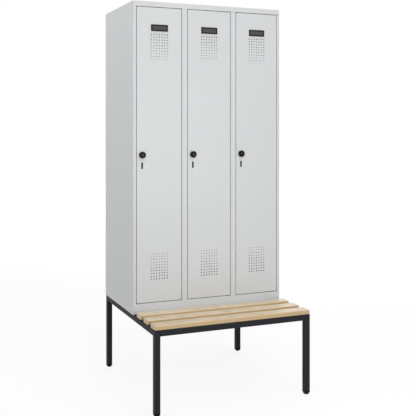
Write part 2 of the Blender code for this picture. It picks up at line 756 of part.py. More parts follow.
def build_label_holder(index):
    """A plastic frame with a shallow pocket for a name card."""
    centre = opening_left(index) + OPENING_WIDTH / 2
    top = DOOR_TOP - LABEL_TOP_OFFSET
    back = FRONT_Y - SEAT_GAP
    half = LABEL_WIDTH / 2
    bm = bmesh.new()
    box_cells(bm, (centre - half, back - LABEL_DEPTH, top - LABEL_HEIGHT), (centre + half, back, top))
    bm.normal_update()
    front = min(bm.faces, key=lambda face: face.normal.y)
    bevel(bm, list(front.edges), LABEL_EDGE, 1)
    bm.normal_update()
    front = min(bm.faces, key=lambda face: face.normal.y)
    bmesh.ops.inset_region(bm, faces=[front], thickness=LABEL_RIM, use_even_offset=True)
    raise_face(bm, front, (0, LABEL_POCKET, 0))
    name = f"label_holder_{index + 1}"
    add_object(name, mesh_from(bm, name), LABEL_PLASTIC)


def build_lock(index):
    """The knob with its shaft, the key plug, the case behind the door and the cam."""
    number = index + 1
    x = lock_x(index)
    axis = (x, FRONT_Y, LOCK_HEIGHT)
    facing = (math.pi / 2, 0, 0)
    shaft = SHAFT_DIAMETER / 2
    knob = KNOB_DIAMETER / 2
    plug = PLUG_DIAMETER / 2
    face = KNOB_PROJECTION - KNOB_DISH
    shaft_tip = -(CAM_FRONT + CAM_THICKNESS + SHAFT_END)
    bore = plug + RUNNING_GAP
    bore_floor = face - PLUG_LENGTH - SEAT_GAP
    dish = knob - KNOB_RIM
    edge = arc((knob - KNOB_EDGE, KNOB_PROJECTION - KNOB_EDGE), KNOB_EDGE, 90, 0, 1)
    profile = [(0, bore_floor), (bore, bore_floor), (bore, face), (dish - KNOB_DISH, face),
               (dish, KNOB_PROJECTION), *edge, (knob, SEAT_GAP), (shaft, SEAT_GAP),
               (shaft, shaft_tip), (0, shaft_tip)]
    turned(f"lock_knob_{number}", profile, KNOB_STEPS, BLACK_PLASTIC, axis, facing)

    profile = [(0, face), (plug - PLUG_EDGE, face), (plug, face - PLUG_EDGE),
               (plug, face - PLUG_LENGTH), (0, face - PLUG_LENGTH)]
    key_plug = turned(f"key_plug_{number}", profile, PLUG_STEPS, CHROME, axis, facing)
    front = FRONT_Y - face
    keyhole = box_mesh(f"keyhole_{number}",
                       (x - KEYHOLE_WIDTH / 2, front - CUT_OVERRUN, LOCK_HEIGHT - KEYHOLE_HEIGHT / 2),
                       (x + KEYHOLE_WIDTH / 2, front + KEYHOLE_DEPTH, LOCK_HEIGHT + KEYHOLE_HEIGHT / 2))
    boolean(key_plug, add_cutter(f"keyhole_{number}", keyhole))

    bm = bmesh.new()
    half = CASE_WIDTH / 2
    box_cells(bm, (x - half, FRONT_Y + CASE_FRONT, LOCK_HEIGHT - CASE_BOTTOM_DROP),
              (x + half, FRONT_Y + CASE_BACK, LOCK_HEIGHT + CASE_TOP_RISE))
    bevel(bm, long_edges(bm, 1), CASE_EDGE, FOLD_SEGMENTS)
    case = add_object(f"lock_case_{number}", mesh_from(bm, f"lock_case_{number}"), BLACK_PLASTIC)
    bm = bmesh.new()
    boss_width = SLOT_WIDTH - 2 * RUNNING_GAP
    boss_height = SLOT_HEIGHT - 2 * RUNNING_GAP
    prism(bm, obround(boss_width, boss_height), x, LOCK_HEIGHT - SLOT_DROP,
          FRONT_Y + SLOT_RECESS, FRONT_Y + CASE_FRONT + CUT_OVERRUN)
    boolean(case, add_cutter(f"case_boss_{number}", mesh_from(bm, f"case_boss_{number}")), "UNION")
    bm = bmesh.new()
    rod(bm, (x, FRONT_Y, LOCK_HEIGHT), (x, FRONT_Y + CASE_BACK + CUT_OVERRUN, LOCK_HEIGHT),
        shaft + RUNNING_GAP, HOLE_SIDES)
    boolean(case, add_cutter(f"case_bore_{number}", mesh_from(bm, f"case_bore_{number}")))

    cam_half = CAM_WIDTH / 2
    tip = (0, CAM_REACH - cam_half)
    outline = arc(tip, cam_half, 0, 180, HALF_ROUND_STEPS) + arc((0, 0), cam_half, 180, 360, HALF_ROUND_STEPS)
    hole = arc((0, 0), shaft + RUNNING_GAP, 0, 360, HOLE_SIDES)[:-1]
    cam_y = FRONT_Y + CAM_FRONT + CAM_THICKNESS / 2
    flat_outline(f"lock_cam_{number}", (outline, hole), CAM_THICKNESS, STEEL, (x, cam_y, LOCK_HEIGHT), facing)


build_legs()
build_rails()
build_slats()
build_walls()
build_ends()
build_back()
for compartment in range(COMPARTMENTS):
    build_fittings(compartment)
    build_door(compartment)
    build_pins(compartment)
    build_label_holder(compartment)
    build_lock(compartment)
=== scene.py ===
"""Looks of a three-compartment steel locker that stands on a bench with wooden slats.

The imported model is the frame: each piece takes its place from the nodes and rides on
one of the bodies. X runs to the right, Y to the back and Z up, all in metres.
"""
import math

import bmesh
import bpy
from mathutils import Matrix, Vector


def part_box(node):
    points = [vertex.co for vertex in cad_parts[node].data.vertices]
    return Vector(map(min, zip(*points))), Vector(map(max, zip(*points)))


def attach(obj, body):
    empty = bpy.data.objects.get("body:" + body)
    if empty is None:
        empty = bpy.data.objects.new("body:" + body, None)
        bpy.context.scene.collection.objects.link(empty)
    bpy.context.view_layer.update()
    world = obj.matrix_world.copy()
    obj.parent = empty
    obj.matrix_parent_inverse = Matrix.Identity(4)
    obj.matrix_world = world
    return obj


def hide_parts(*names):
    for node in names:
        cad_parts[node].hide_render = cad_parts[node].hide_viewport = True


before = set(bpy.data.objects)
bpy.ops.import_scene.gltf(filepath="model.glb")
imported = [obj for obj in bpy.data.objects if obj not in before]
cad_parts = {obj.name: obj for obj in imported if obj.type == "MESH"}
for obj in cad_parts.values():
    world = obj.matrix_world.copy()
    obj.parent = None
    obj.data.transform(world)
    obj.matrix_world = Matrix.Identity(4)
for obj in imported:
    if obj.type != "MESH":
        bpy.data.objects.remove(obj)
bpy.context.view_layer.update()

CABINET = "cabinet_and_bench"
COMPARTMENTS = (1, 2, 3)
SLATS = (1, 2, 3)
SIDES = ("left", "right")
ENDS = ("front", "rear")
PARTITIONS = ("partition_1", "partition_2")

# Camera, found by fitting the photograph's edges to the part's own sizes
CAMERA_PLACE = (-1.6958, -3.6188, 1.4321)
CAMERA_TURN = math.radians(-20.35)
CAMERA_LENS = 60.36
CAMERA_SHIFT = (0.1535, -0.1914)

# Sheet work
SHEET = 0.0008
OUTER_FOLD = 0.0025
OPENING_FOLD = 0.0015
DOOR_FOLD = 0.0020
DOOR_LOWER_FOLD = 0.0045
DOOR_LIP = 0.010
POST_RETURN = 0.022
HEADER_RETURN = 0.018
HEADER_RETURN_LIP = 0.010
LOCK_SIDE_NOTCH = 0.014
HINGE_SIDE_NOTCH = 0.0075
STOP_LIP = 0.010
HEM_GAP = 0.0005
HEM_SPACING = 2 * SHEET + HEM_GAP
WEB_FLANGE = 0.015
SHELF_LIP = 0.008
SHELF_REAR_FOLD = 0.012
BACK_RIB_WIDTH = 0.024
BACK_RIB_FLAT = 0.016
BACK_RIB_DEPTH = 0.004
STIFFENER_WIDTH = 0.024
STIFFENER_FLANGE = 0.012
STIFFENER_DEPTH = 0.012
STIFFENER_OFFSET = 0.082
STIFFENER_END_GAP = 0.014
CLEARANCE = 0.0003
OVERRUN = 0.002

# Door perforation
GRID_COLUMNS = 7
GRID_ROWS = 10
GRID_PITCH_X = 0.0157
GRID_PITCH_Z = 0.0150
GRID_TOP_OFFSET = 0.146
GRID_BOTTOM_OFFSET = 0.1256
HOLE_LARGE = 0.0060
HOLE_SMALL = 0.0038
HOLE_CORNER_SHARE = 0.22

# Knob and shaft
KNOB_DIAMETER = 0.036
KNOB_PROJECTION = 0.014
KNOB_EDGE = 0.0022
KNOB_RIM = 0.0035
KNOB_RIM_EASE = 0.0010
KNOB_RIM_START = 165
KNOB_DISH_SLOPE = 0.0016
KNOB_GROOVE_INSET = 0.0022
KNOB_GROOVE_WIDTH = 0.0016
KNOB_GROOVE_DEPTH = 0.0006
KNOB_EASE = 0.0004
KNOB_FOOT_HEIGHT = 0.0022
KNOB_FOOT_STEP = 0.0006
SHAFT_DIAMETER = 0.010

# Key plug and cam
PLUG_DIAMETER = 0.016
PLUG_LENGTH = 0.0095
PLUG_EDGE = 0.0008
PLUG_DISH = 0.0004
PLUG_DISH_SHARES = (0.74, 0.66)
KEYHOLE_WIDTH = 0.0018
KEYHOLE_HEIGHT = 0.0080
KEYHOLE_DEPTH = 0.0060
CAM_WIDTH = 0.018
CAM_REACH = 0.029
CAM_EDGE = 0.0004

# Lock case and the slot below the knob
CASE_CORNER = 0.003
CASE_EDGE = 0.0007
CASE_SCREW_DROPS = (0.040, 0.077)
SLOT_DROP = 0.058
SLOT_WIDTH = 0.0082
SLOT_HEIGHT = 0.0350
SLOT_RIM = 0.0009
SLOT_POCKET = 0.0050
SLOT_FLANGE = 0.0015
SLOT_FLANGE_HEIGHT = 0.0004

# Label holder
LABEL_RIM = 0.0075
LABEL_EASE = 0.0012
LABEL_EASE_SHARE = 0.3
LABEL_CORNER = 0.0015
LABEL_FACE_CORNER = 0.0012
WINDOW_DEPTH = 0.0015
WINDOW_EASE = 0.0006
WINDOW_CORNERS = (0.0009, 0.0008, 0.0007)
CARD_THICKNESS = 0.0005
CARD_GAP = 0.00005
CARD_CORNER = 0.0005

# Hinge pins
PIN_RADIUS = 0.0025
PIN_TIP_EASE = 0.0008
PIN_HEAD_RADIUS = 0.0045
PIN_HEAD_DROP = 0.0012
PIN_SHOULDER_RADIUS = 0.0040
PIN_SHOULDER_DROP = 0.0004
PIN_CROWN_RADIUS = 0.0030
COLLAR_RADIUS = 0.0050
COLLAR_HEIGHT = 0.0024
COLLAR_EASE = 0.0002
COLLAR_EASE_HEIGHT = 0.0003

# Coat rails and hooks
HOOK_BAR = 0.005
HOOK_NECK = 0.022
HOOK_BEND = 0.012
HOOK_LIFT = 0.012
HOOK_EDGE = 0.0012
RAIL_DIAMETER = 0.016
SOCKET_DIAMETER = 0.028
SOCKET_LENGTH = 0.008
SOCKET_EASE = 0.0012

# Bench
TUBE_CORNER = 0.0025
FOOT_ROUNDING = 0.009
SLAT_ROUNDING = 0.0055
SLAT_END_ROUNDING = 0.0020

# Welds: a bead's valleys and ends, and a spot's ring, as shares of its radius and height
BEAD_RADIUS = 0.0024
BEAD_RIPPLE = 0.0022
BEAD_VALLEY_SHARE = 0.84
BEAD_END_SHARE = 0.5
SPOT_RADIUS = 0.0034
SPOT_HEIGHT = 0.00018
SPOT_SPACING = 0.150
SPOT_SHARES = ((0, 0.1), (0.55, 0.2), (0.75, 1.0), (0.9, 0.8), (1.0, -1.0), (0, -1.0))

# Fasteners: heads and recesses as shares of their radius and height
SCREW_RADIUS = 0.0040
SCREW_HEIGHT = 0.0024
CASE_SCREW_RADIUS = 0.0030
CASE_SCREW_HEIGHT = 0.0018
SCREW_HEAD_SHARES = ((1.0, 0.0), (1.0, 0.35), (0.93, 0.72), (0.78, 0.93), (0.6, 1.0))
CROSS_SHARES = ((0.52, 0.13), (0.40, 0.10))
CROSS_FLOOR_SHARE = 0.2
SLAT_SCREW_SPREAD = 0.017
BOLT_WIDTH = 0.010
BOLT_HEIGHT = 0.004
BOLT_SIDES = 6
BOLT_HEAD_SHARES = ((1.0, 0.0), (1.0, 0.88), (0.9, 1.0))
BOLT_RAILS = ("rail_middle", "rail_rear")
BOLT_REACH = 0.30
WASHER_RADIUS = 0.009
WASHER_HEIGHT = 0.0016
WASHER_EASE = 0.0003
BUFFER_RADIUS = 0.0032
BUFFER_HEIGHT = 0.0035
BUFFER_INSET = 0.120
BUFFER_SHARES = ((0, 1.0), (0.7, 1.0), (0.92, 0.86), (1.0, 0.6), (1.0, 0), (0, 0))

# Smoothness
FOLD_STEPS = 6
SLAT_STEPS = 8
END_STEPS = 4
HOLE_STEPS = 2
PIN_HOLE_STEPS = 12
BEAD_STEPS = 4
SPOT_STEPS = 20
BUFFER_STEPS = 24
WASHER_STEPS = 32
PIN_STEPS = 32
CAM_STEPS = 16
RING_STEPS = 36
BEND_STEPS = 18
TIP_STEPS = 10
ROUND_STEPS = 48
SHARP_ANGLE = math.radians(33)
SOFT_ANGLE = math.radians(40)


# Places that follow from the frame

TOP_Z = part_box("top_panel")[1].z
BASE_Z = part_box("bottom_panel")[0].z
FRONT_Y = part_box("bottom_panel")[0].y
REAR_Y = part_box("back_panel")[1].y
OPENING_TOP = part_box("top_panel")[0].z
OPENING_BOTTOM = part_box("bottom_panel")[1].z
HALF_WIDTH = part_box("side_panel_right")[1].x
RUN_HALF_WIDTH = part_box("top_panel")[1].x
POST_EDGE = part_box("side_panel_right")[0].x
DOOR_GAP = POST_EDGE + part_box("door_panel_1")[0].x
INNER_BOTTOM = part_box("back_panel")[0].z
INNER_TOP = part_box("back_panel")[1].z


def middle_of(node):
    """The middle of a node's box."""
    low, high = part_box(node)
    return (low + high) / 2


# Node trees


def feed(tree, socket, value):
    """Links a socket into another one, or sets it to a plain value or colour."""
    if isinstance(value, bpy.types.NodeSocket):
        tree.links.new(value, socket)
    elif socket.type == "RGBA":
        socket.default_value = (*value[:3], 1.0)
    else:
        socket.default_value = value


def add_node(tree, kind, inputs=None, **settings):
    """A node with its settings made and some of its inputs fed."""
    node = tree.nodes.new(kind)
    for name, value in settings.items():
        setattr(node, name, value)
    for name, value in (inputs or {}).items():
        feed(tree, node.inputs[name], value)
    return node


def noise(tree, vector, scale=1.0, detail=2.0, roughness=0.5, distortion=0.0):
    """Noise from 0 to 1 along a vector."""
    inputs = {"Vector": vector, "Scale": scale, "Detail": detail, "Roughness": roughness,
              "Distortion": distortion}
    return add_node(tree, "ShaderNodeTexNoise", inputs).outputs["Fac"]


def calculate(tree, operation, first, second=0.0):
    """A Math node on sockets or plain numbers."""
    return add_node(tree, "ShaderNodeMath", {0: first, 1: second}, operation=operation).outputs[0]


def add_up(tree, *weighted):
    """The sum of pairs of a value and its weight."""
    total = None
    for value, weight in weighted:
        part = calculate(tree, "MULTIPLY", value, weight)
        total = calculate(tree, "ADD", total, part) if total else part
    return total


def spread(tree, value, low, high, new_low=0.0, new_high=1.0):
    """Maps a value from one range to another, held at both ends."""
    inputs = {"Value": value, "From Min": low, "From Max": high, "To Min": new_low, "To Max": new_high}
    return add_node(tree, "ShaderNodeMapRange", inputs).outputs["Result"]


def stretch(tree, vector, scale):
    """Coordinates scaled by an amount of its own along each axis."""
    return add_node(tree, "ShaderNodeMapping", {"Vector": vector, "Scale": scale}).outputs["Vector"]


def blend_colours(tree, factor, first, second):
    """A Mix node on colours, which are sockets or plain colours; its colour sockets are 6 and 7."""
    return add_node(tree, "ShaderNodeMix", {0: factor, 6: first, 7: second}, data_type="RGBA").outputs[2]


def new_group(name, inputs, outputs):
    """A shader group fed by a Vector and plain inputs; returns it with what goes in and out of it."""
    group = bpy.data.node_groups.new(name, "ShaderNodeTree")
    group.interface.new_socket("Vector", in_out="INPUT", socket_type="NodeSocketVector")
    for label, value in inputs.items():
        kind = "NodeSocketColor" if isinstance(value, tuple) else "NodeSocketFloat"
        socket = group.interface.new_socket(label, in_out="INPUT", socket_type=kind)
        socket.default_value = (*value, 1.0) if isinstance(value, tuple) else value
    for label in outputs:
        kind = "NodeSocketColor" if label == "Colour" else "NodeSocketFloat"
        group.interface.new_socket(label, in_out="OUTPUT", socket_type=kind)
    return group, group.nodes.new("NodeGroupInput").outputs, group.nodes.new("NodeGroupOutput").inputs


# Noise mostly stays within these values, which are spread to the full range
NOISE_RANGE = (0.3, 0.7)
SOFT_NOISE_RANGE = (0.35, 0.65)


def make_coating_group():
    """Orange peel and fine grain of a powder coat, with slow cloudiness in its shade and sheen."""
    sheen_fineness = 4.0
    group, given, out = new_group(
        "powder_coat_skin",
        {"Peel Scale": 260.0, "Grain Scale": 1500.0, "Grain Share": 0.35, "Cloud Scale": 3.0},
        ("Height", "Cloud", "Sheen Variation"))
    vector = given["Vector"]
    peel = noise(group, vector, given["Peel Scale"], detail=1.0)
    grain = noise(group, vector, given["Grain Scale"], detail=0.0)
    cloud = noise(group, vector, given["Cloud Scale"], detail=3.0)
    sheen_scale = calculate(group, "MULTIPLY", given["Cloud Scale"], sheen_fineness)
    sheen = noise(group, vector, sheen_scale, detail=4.0, roughness=0.6)
    fine = calculate(group, "MULTIPLY", grain, given["Grain Share"])
    feed(group, out["Height"], calculate(group, "ADD", peel, fine))
    feed(group, out["Cloud"], cloud)
    feed(group, out["Sheen Variation"], sheen)
    return group


def make_dust_and_top_light_group():
    """A patchy mask on faces that look up: real dust on the paint, and painted top light on the slats, which
    makes their tops paler as light from above and the lacquer's sheen would.
    """
    slopes = (0.35, 0.95)
    patch_range = (0.35, 0.7, 0.2, 1.0)
    group, given, out = new_group("settled_dust_and_painted_top_light", {"Amount": 0.1, "Scale": 14.0}, ("Mask",))
    geometry = add_node(group, "ShaderNodeNewGeometry")
    split = add_node(group, "ShaderNodeSeparateXYZ", {"Vector": geometry.outputs["Normal"]})
    upward = spread(group, split.outputs["Z"], *slopes)
    patches = noise(group, given["Vector"], given["Scale"], detail=4.0, roughness=0.62)
    broken = spread(group, patches, *patch_range)
    mask = calculate(group, "MULTIPLY", calculate(group, "MULTIPLY", upward, broken), given["Amount"])
    feed(group, out["Mask"], mask)
    return group


def make_mould_group():
    """The fine even grain of a moulded plastic face, with faint handling marks."""
    mark_range = (0.4, 0.75)
    group, given, out = new_group("mould_grain", {"Grain Scale": 2600.0, "Mark Scale": 90.0},
                                  ("Height", "Marks"))
    grain = noise(group, given["Vector"], given["Grain Scale"], roughness=0.55)
    marks = noise(group, given["Vector"], given["Mark Scale"], detail=4.0, roughness=0.65, distortion=0.6)
    feed(group, out["Height"], grain)
    feed(group, out["Marks"], spread(group, marks, *mark_range))
    return group


# Beech: its colours, and how ring, fibre and broad tone share in its shade
BEECH_PALE = (0.600, 0.428, 0.232)
BEECH_DEEP = (0.400, 0.250, 0.108)
# Painted highlight: the paler colour laid on the slats' tops in place of light from above and the lacquer's
# sheen
BEECH_PAINTED_TOP_LIGHT = (0.82, 0.78, 0.665)
RAY_COLOUR = (0.30, 0.17, 0.08)
LATE_WOOD_SHARE = 0.52
FIBRE_SHARE = 0.42
BROAD_SHARE = 0.38
SHADE_RANGE = (0.35, 1.35)
RAY_SHARE = 0.22
RAY_SINK_SHARE = 0.5
RAY_RANGE = (0.62, 0.74)
RING_WANDER = 0.055
LATE_WOOD_POWER = 2.2

# Noise is drawn out along the board by scaling it less along X than along Y and Z
SLOW_GRAIN = (0.9, 9.0, 9.0)
FIBRE_GRAIN = (14.0, 620.0, 620.0)
RAY_GRAIN = (160.0, 900.0, 900.0)


def make_board_group():
    """Beech sawn along X: growth rings round a heart line, fibres, short rays and a slow tone."""
    group, given, out = new_group(
        "beech_board",
        {"Heart Y": 0.0, "Heart Z": -0.3, "Ring Spacing": 0.006, "Tone": 0.5,
         "Pale": BEECH_PALE, "Deep": BEECH_DEEP},
        ("Colour", "Height", "Sheen Variation"))
    vector = given["Vector"]
    slow = stretch(group, vector, SLOW_GRAIN)
    wander = noise(group, slow)
    split = add_node(group, "ShaderNodeSeparateXYZ", {"Vector": vector})
    across = calculate(group, "SUBTRACT", split.outputs["Y"], given["Heart Y"])
    upward = calculate(group, "SUBTRACT", split.outputs["Z"], given["Heart Z"])
    radius = calculate(group, "SQRT", add_up(group, (across, across), (upward, upward)))
    drift = calculate(group, "MULTIPLY", wander, RING_WANDER)
    turns = calculate(group, "DIVIDE", calculate(group, "ADD", radius, drift), given["Ring Spacing"])
    late = calculate(group, "POWER", calculate(group, "FRACT", turns), LATE_WOOD_POWER)
    fibre = noise(group, stretch(group, vector, FIBRE_GRAIN), detail=3.0, roughness=0.6)
    rays = noise(group, stretch(group, vector, RAY_GRAIN), detail=1.0)
    rays = spread(group, rays, *RAY_RANGE)
    broad = noise(group, slow, scale=2.3, detail=3.0)
    shade = add_up(group, (late, LATE_WOOD_SHARE), (fibre, FIBRE_SHARE), (broad, BROAD_SHARE))
    shade = spread(group, calculate(group, "ADD", shade, given["Tone"]), *SHADE_RANGE)
    wood = blend_colours(group, shade, given["Pale"], given["Deep"])
    wood = blend_colours(group, calculate(group, "MULTIPLY", rays, RAY_SHARE), wood, RAY_COLOUR)
    feed(group, out["Colour"], wood)
    sink = calculate(group, "MULTIPLY", rays, RAY_SINK_SHARE)
    feed(group, out["Height"], calculate(group, "SUBTRACT", fibre, sink))
    feed(group, out["Sheen Variation"], broad)
    return group


def make_plating_group():
    """Fine drawn lines and a faint cloudiness of plated steel."""
    line_stretch = (0.06, 1.0, 1.0)
    group, given, out = new_group("plated_lines", {"Line Scale": 900.0}, ("Height", "Cloud"))
    drawn = stretch(group, given["Vector"], line_stretch)
    feed(group, out["Height"], noise(group, drawn, given["Line Scale"], roughness=0.6))
    feed(group, out["Cloud"], noise(group, given["Vector"], scale=55.0, detail=4.0, roughness=0.6))
    return group


COATING = make_coating_group()
DUST_AND_TOP_LIGHT = make_dust_and_top_light_group()
MOULD = make_mould_group()
BOARD = make_board_group()
PLATING = make_plating_group()


# Materials

COAT_ROUGHNESS_SWING = (-0.04, 0.05)
WOOD_ROUGHNESS = (0.30, 0.42)
WOOD_GRAIN_DEPTH = 0.00006
LACQUER_WEIGHT = 0.5
LACQUER_ROUGHNESS = 0.22
MARK_GAIN = 1.5
MARK_LIFT = 0.004
MARK_ROUGHNESS = 0.12
PLATE_ROUGHNESS_SWING = 0.1
PLATE_LINE_DEPTH = 0.00002


def new_material(name, slot, metallic=0.0, specular=0.5):
    """A Principled material, its tree, its shader and the object-space coordinates."""
    material = bpy.data.materials.new(name)
    material.use_nodes = True
    material["slot"] = slot
    tree = material.node_tree
    shader = tree.nodes["Principled BSDF"]
    shader.inputs["Metallic"].default_value = metallic
    shader.inputs["Specular IOR Level"].default_value = specular
    place = tree.nodes.new("ShaderNodeTexCoord").outputs["Object"]
    return material, tree, shader, place


def place_group(tree, group, place, **values):
    """A group's outputs in a material, fed with the piece's coordinates; names hold _ for a space."""
    inputs = {name.replace("_", " ").title(): value for name, value in values.items()}
    node = add_node(tree, "ShaderNodeGroup", node_tree=group)
    for name, value in {"Vector": place, **inputs}.items():
        feed(tree, node.inputs[name], value)
    return node.outputs


def finish_shader(tree, shader, colour, roughness, height, depth):
    """Feeds the shader's colour and roughness, and raises a height, in metres, into its normal."""
    bump = add_node(tree, "ShaderNodeBump", {"Strength": 1.0, "Distance": depth, "Height": height})
    for name, value in (("Base Color", colour), ("Roughness", roughness), ("Normal", bump.outputs["Normal"])):
        feed(tree, shader.inputs[name], value)


def make_powder_coat(name, colour, deep, roughness, specular, peel_depth, dust_colour, dust_share):
    """Two shades of paint that cloud into each other, under a little dust."""
    material, tree, shader, place = new_material(name, name, specular=specular)
    skin = place_group(tree, COATING, place)
    veil = place_group(tree, DUST_AND_TOP_LIGHT, place, amount=dust_share)
    paint = blend_colours(tree, spread(tree, skin["Cloud"], *NOISE_RANGE), deep, colour)
    paint = blend_colours(tree, veil["Mask"], paint, dust_colour)
    limits = [roughness + swing for swing in COAT_ROUGHNESS_SWING]
    sheen = spread(tree, skin["Sheen Variation"], *NOISE_RANGE, *limits)
    finish_shader(tree, shader, paint, sheen, skin["Height"], peel_depth)
    return material


def make_beech(name, heart_y, heart_z, tone, painted_top_light_share):
    """Clear coated beech with its own heart line, and painted top light: paler on top, where light from above
    and the lacquer's sheen fall.
    """
    material, tree, shader, place = new_material(name, "clear_coated_beech")
    board = place_group(tree, BOARD, place, heart_y=heart_y, heart_z=heart_z, tone=tone)
    # Painted top light: the upward mask lays a paler colour on the slats' tops, in place of light from above
    # and sheen
    painted_top_light = place_group(tree, DUST_AND_TOP_LIGHT, place, amount=painted_top_light_share)
    shader.inputs["Coat Weight"].default_value = LACQUER_WEIGHT
    shader.inputs["Coat Roughness"].default_value = LACQUER_ROUGHNESS
    wood = blend_colours(tree, painted_top_light["Mask"], board["Colour"], BEECH_PAINTED_TOP_LIGHT)
    sheen = spread(tree, board["Sheen Variation"], *NOISE_RANGE, *WOOD_ROUGHNESS)
    finish_shader(tree, shader, wood, sheen, board["Height"], WOOD_GRAIN_DEPTH)
    return material


def make_plastic(name, slot, colour, roughness, grain_depth, grain_scale=2600.0, specular=0.20):
    """Moulded plastic or rubber, a little paler and duller where hands have marked it."""
    material, tree, shader, place = new_material(name, slot, specular=specular)
    grain = place_group(tree, MOULD, place, grain_scale=grain_scale)
    marked = tuple(channel * MARK_GAIN + MARK_LIFT for channel in colour)
    shade = blend_colours(tree, grain["Marks"], colour, marked)
    sheen = spread(tree, grain["Marks"], 0.0, 1.0, roughness, roughness + MARK_ROUGHNESS)
    finish_shader(tree, shader, shade, sheen, grain["Height"], grain_depth)
    return material


def make_plated(name, slot, colour, dull, roughness, line_scale=900.0):
    """Drawn and plated steel that clouds from bright to dull."""
    material, tree, shader, place = new_material(name, slot, metallic=1.0)
    lines = place_group(tree, PLATING, place, line_scale=line_scale)
    shade = blend_colours(tree, spread(tree, lines["Cloud"], *SOFT_NOISE_RANGE), colour, dull)
    sheen = spread(tree, lines["Cloud"], *NOISE_RANGE, roughness, roughness + PLATE_ROUGHNESS_SWING)
    finish_shader(tree, shader, shade, sheen, lines["Height"], PLATE_LINE_DEPTH)
    return material


LIGHT_GREY = make_powder_coat(
    "light_grey_powder_coat", colour=(0.652, 0.660, 0.664), deep=(0.638, 0.646, 0.650), roughness=0.42,
    specular=0.5, peel_depth=0.000020, dust_colour=(0.60, 0.59, 0.57), dust_share=0.05)
ANTHRACITE = make_powder_coat(
    "anthracite_powder_coat", colour=(0.0236, 0.0259, 0.0302), deep=(0.0208, 0.0231, 0.0270), roughness=0.50,
    specular=0.07, peel_depth=0.000035, dust_colour=(0.20, 0.19, 0.17), dust_share=0.02)
BEECH = {
    1: make_beech("beech_front_slat", heart_y=-0.345, heart_z=0.16, tone=0.02, painted_top_light_share=0.42),
    2: make_beech("beech_middle_slat", heart_y=-0.29, heart_z=0.08, tone=0.04, painted_top_light_share=0.50),
    3: make_beech("beech_rear_slat", heart_y=-0.13, heart_z=0.21, tone=0.0, painted_top_light_share=0.62),
}
BLACK_PLASTIC = make_plastic("black_moulded_plastic", "black_plastic", (0.0026, 0.0026, 0.0029),
                             roughness=0.28, grain_depth=0.000012, specular=0.11)
FOOT_PLASTIC = make_plastic("foot_cap_plastic", "black_plastic", (0.0042, 0.0042, 0.0046),
                            roughness=0.44, grain_depth=0.000025, grain_scale=1500.0, specular=0.10)
LABEL_PLASTIC = make_plastic("label_frame_plastic", "dark_grey_plastic", (0.0090, 0.0090, 0.0093),
                             roughness=0.34, grain_depth=0.000012)
CARD = make_plastic("name_card", "dark_grey_plastic", (0.0580, 0.0580, 0.0585),
                    roughness=0.50, grain_depth=0.000008, grain_scale=4200.0)
RUBBER = make_plastic("buffer_rubber", "black_plastic", (0.030, 0.030, 0.031),
                      roughness=0.68, grain_depth=0.00002, grain_scale=1800.0)
ZINC = make_plated("zinc_plated_steel", "zinc_plated_steel", (0.62, 0.62, 0.60), (0.52, 0.52, 0.50), 0.30)
# Painted shade: the zinc plated hinge pins are coloured near black, so they read as dark in the shaded door
# gaps and show no highlight
PIN_STEEL_PAINTED_SHADE = make_plated("pin_steel_darkened_as_gap_shade", "zinc_plated_steel", (0.11, 0.105, 0.10),
                        (0.08, 0.077, 0.073), 0.42)
CHROME = make_plated("dark_plated_plug", "chromed_steel", (0.034, 0.034, 0.036), (0.025, 0.025, 0.027),
                     0.22, line_scale=1400.0)


# Mesh tools

# Turns a matrix's Z to the right, its X to the rear and its Y up
ALONG_X = Matrix(((0, 0, 1, 0), (1, 0, 0, 0), (0, 1, 0, 0), (0, 0, 0, 1)))


def dress(item, finish, body, replaced=()):
    """Gives a finished mesh its shading, smooth up to sharp edges, and its material, slot and body."""
    mesh = item.data
    mesh.name = item.name
    mesh.materials.clear()
    mesh.materials.append(finish)
    mesh.shade_smooth()
    mesh.set_sharp_from_angle(angle=SHARP_ANGLE)
    shading = item.modifiers.new("even_shading", "WEIGHTED_NORMAL")
    shading.keep_sharp = True
    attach(item, body)
    if replaced:
        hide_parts(*replaced)


def finish_piece(item, finish, body, replaced=()):
    """Applies the modifiers and dresses the piece."""
    depsgraph = bpy.context.evaluated_depsgraph_get()
    bpy.context.view_layer.update()
    mesh = bpy.data.meshes.new_from_object(item.evaluated_get(depsgraph), depsgraph=depsgraph)
    item.modifiers.clear()
    item.data = mesh
    dress(item, finish, body, replaced)


def new_item(name, data):
    item = bpy.data.objects.new(name, data)
    bpy.context.scene.collection.objects.link(item)
    return item


def mesh_item(name, bm, keep_normals=False):
    """An object from a bmesh, which is freed."""
    if not keep_normals:
        bmesh.ops.recalc_face_normals(bm, faces=bm.faces)
    mesh = bpy.data.meshes.new(name)
    bm.to_mesh(mesh)
    bm.free()
    return new_item(name, mesh)


def remove_item(item):
    bpy.data.objects.remove(item, do_unlink=True)


def cut(item, cutter):
    """Cuts one piece's shape out of another."""
    modifier = item.modifiers.new("cut", "BOOLEAN")
    modifier.operation = "DIFFERENCE"
    modifier.solver = "EXACT"
    modifier.object = cutter


def soften(item, width, segments=2):
    """Rounds the sharp edges of a piece."""
    modifier = item.modifiers.new("soft_edges", "BEVEL")
    modifier.width = width
    modifier.segments = segments
    modifier.limit_method = "ANGLE"
    modifier.angle_limit = SOFT_ANGLE


def add_box(bm, low, high):
    """Adds a box between two corners."""
    size = [high[axis] - low[axis] for axis in range(3)]
    middle = [(high[axis] + low[axis]) / 2 for axis in range(3)]
    matrix = Matrix.Translation(middle) @ Matrix.Diagonal((*size, 1.0))
    bmesh.ops.create_cube(bm, size=1.0, matrix=matrix)


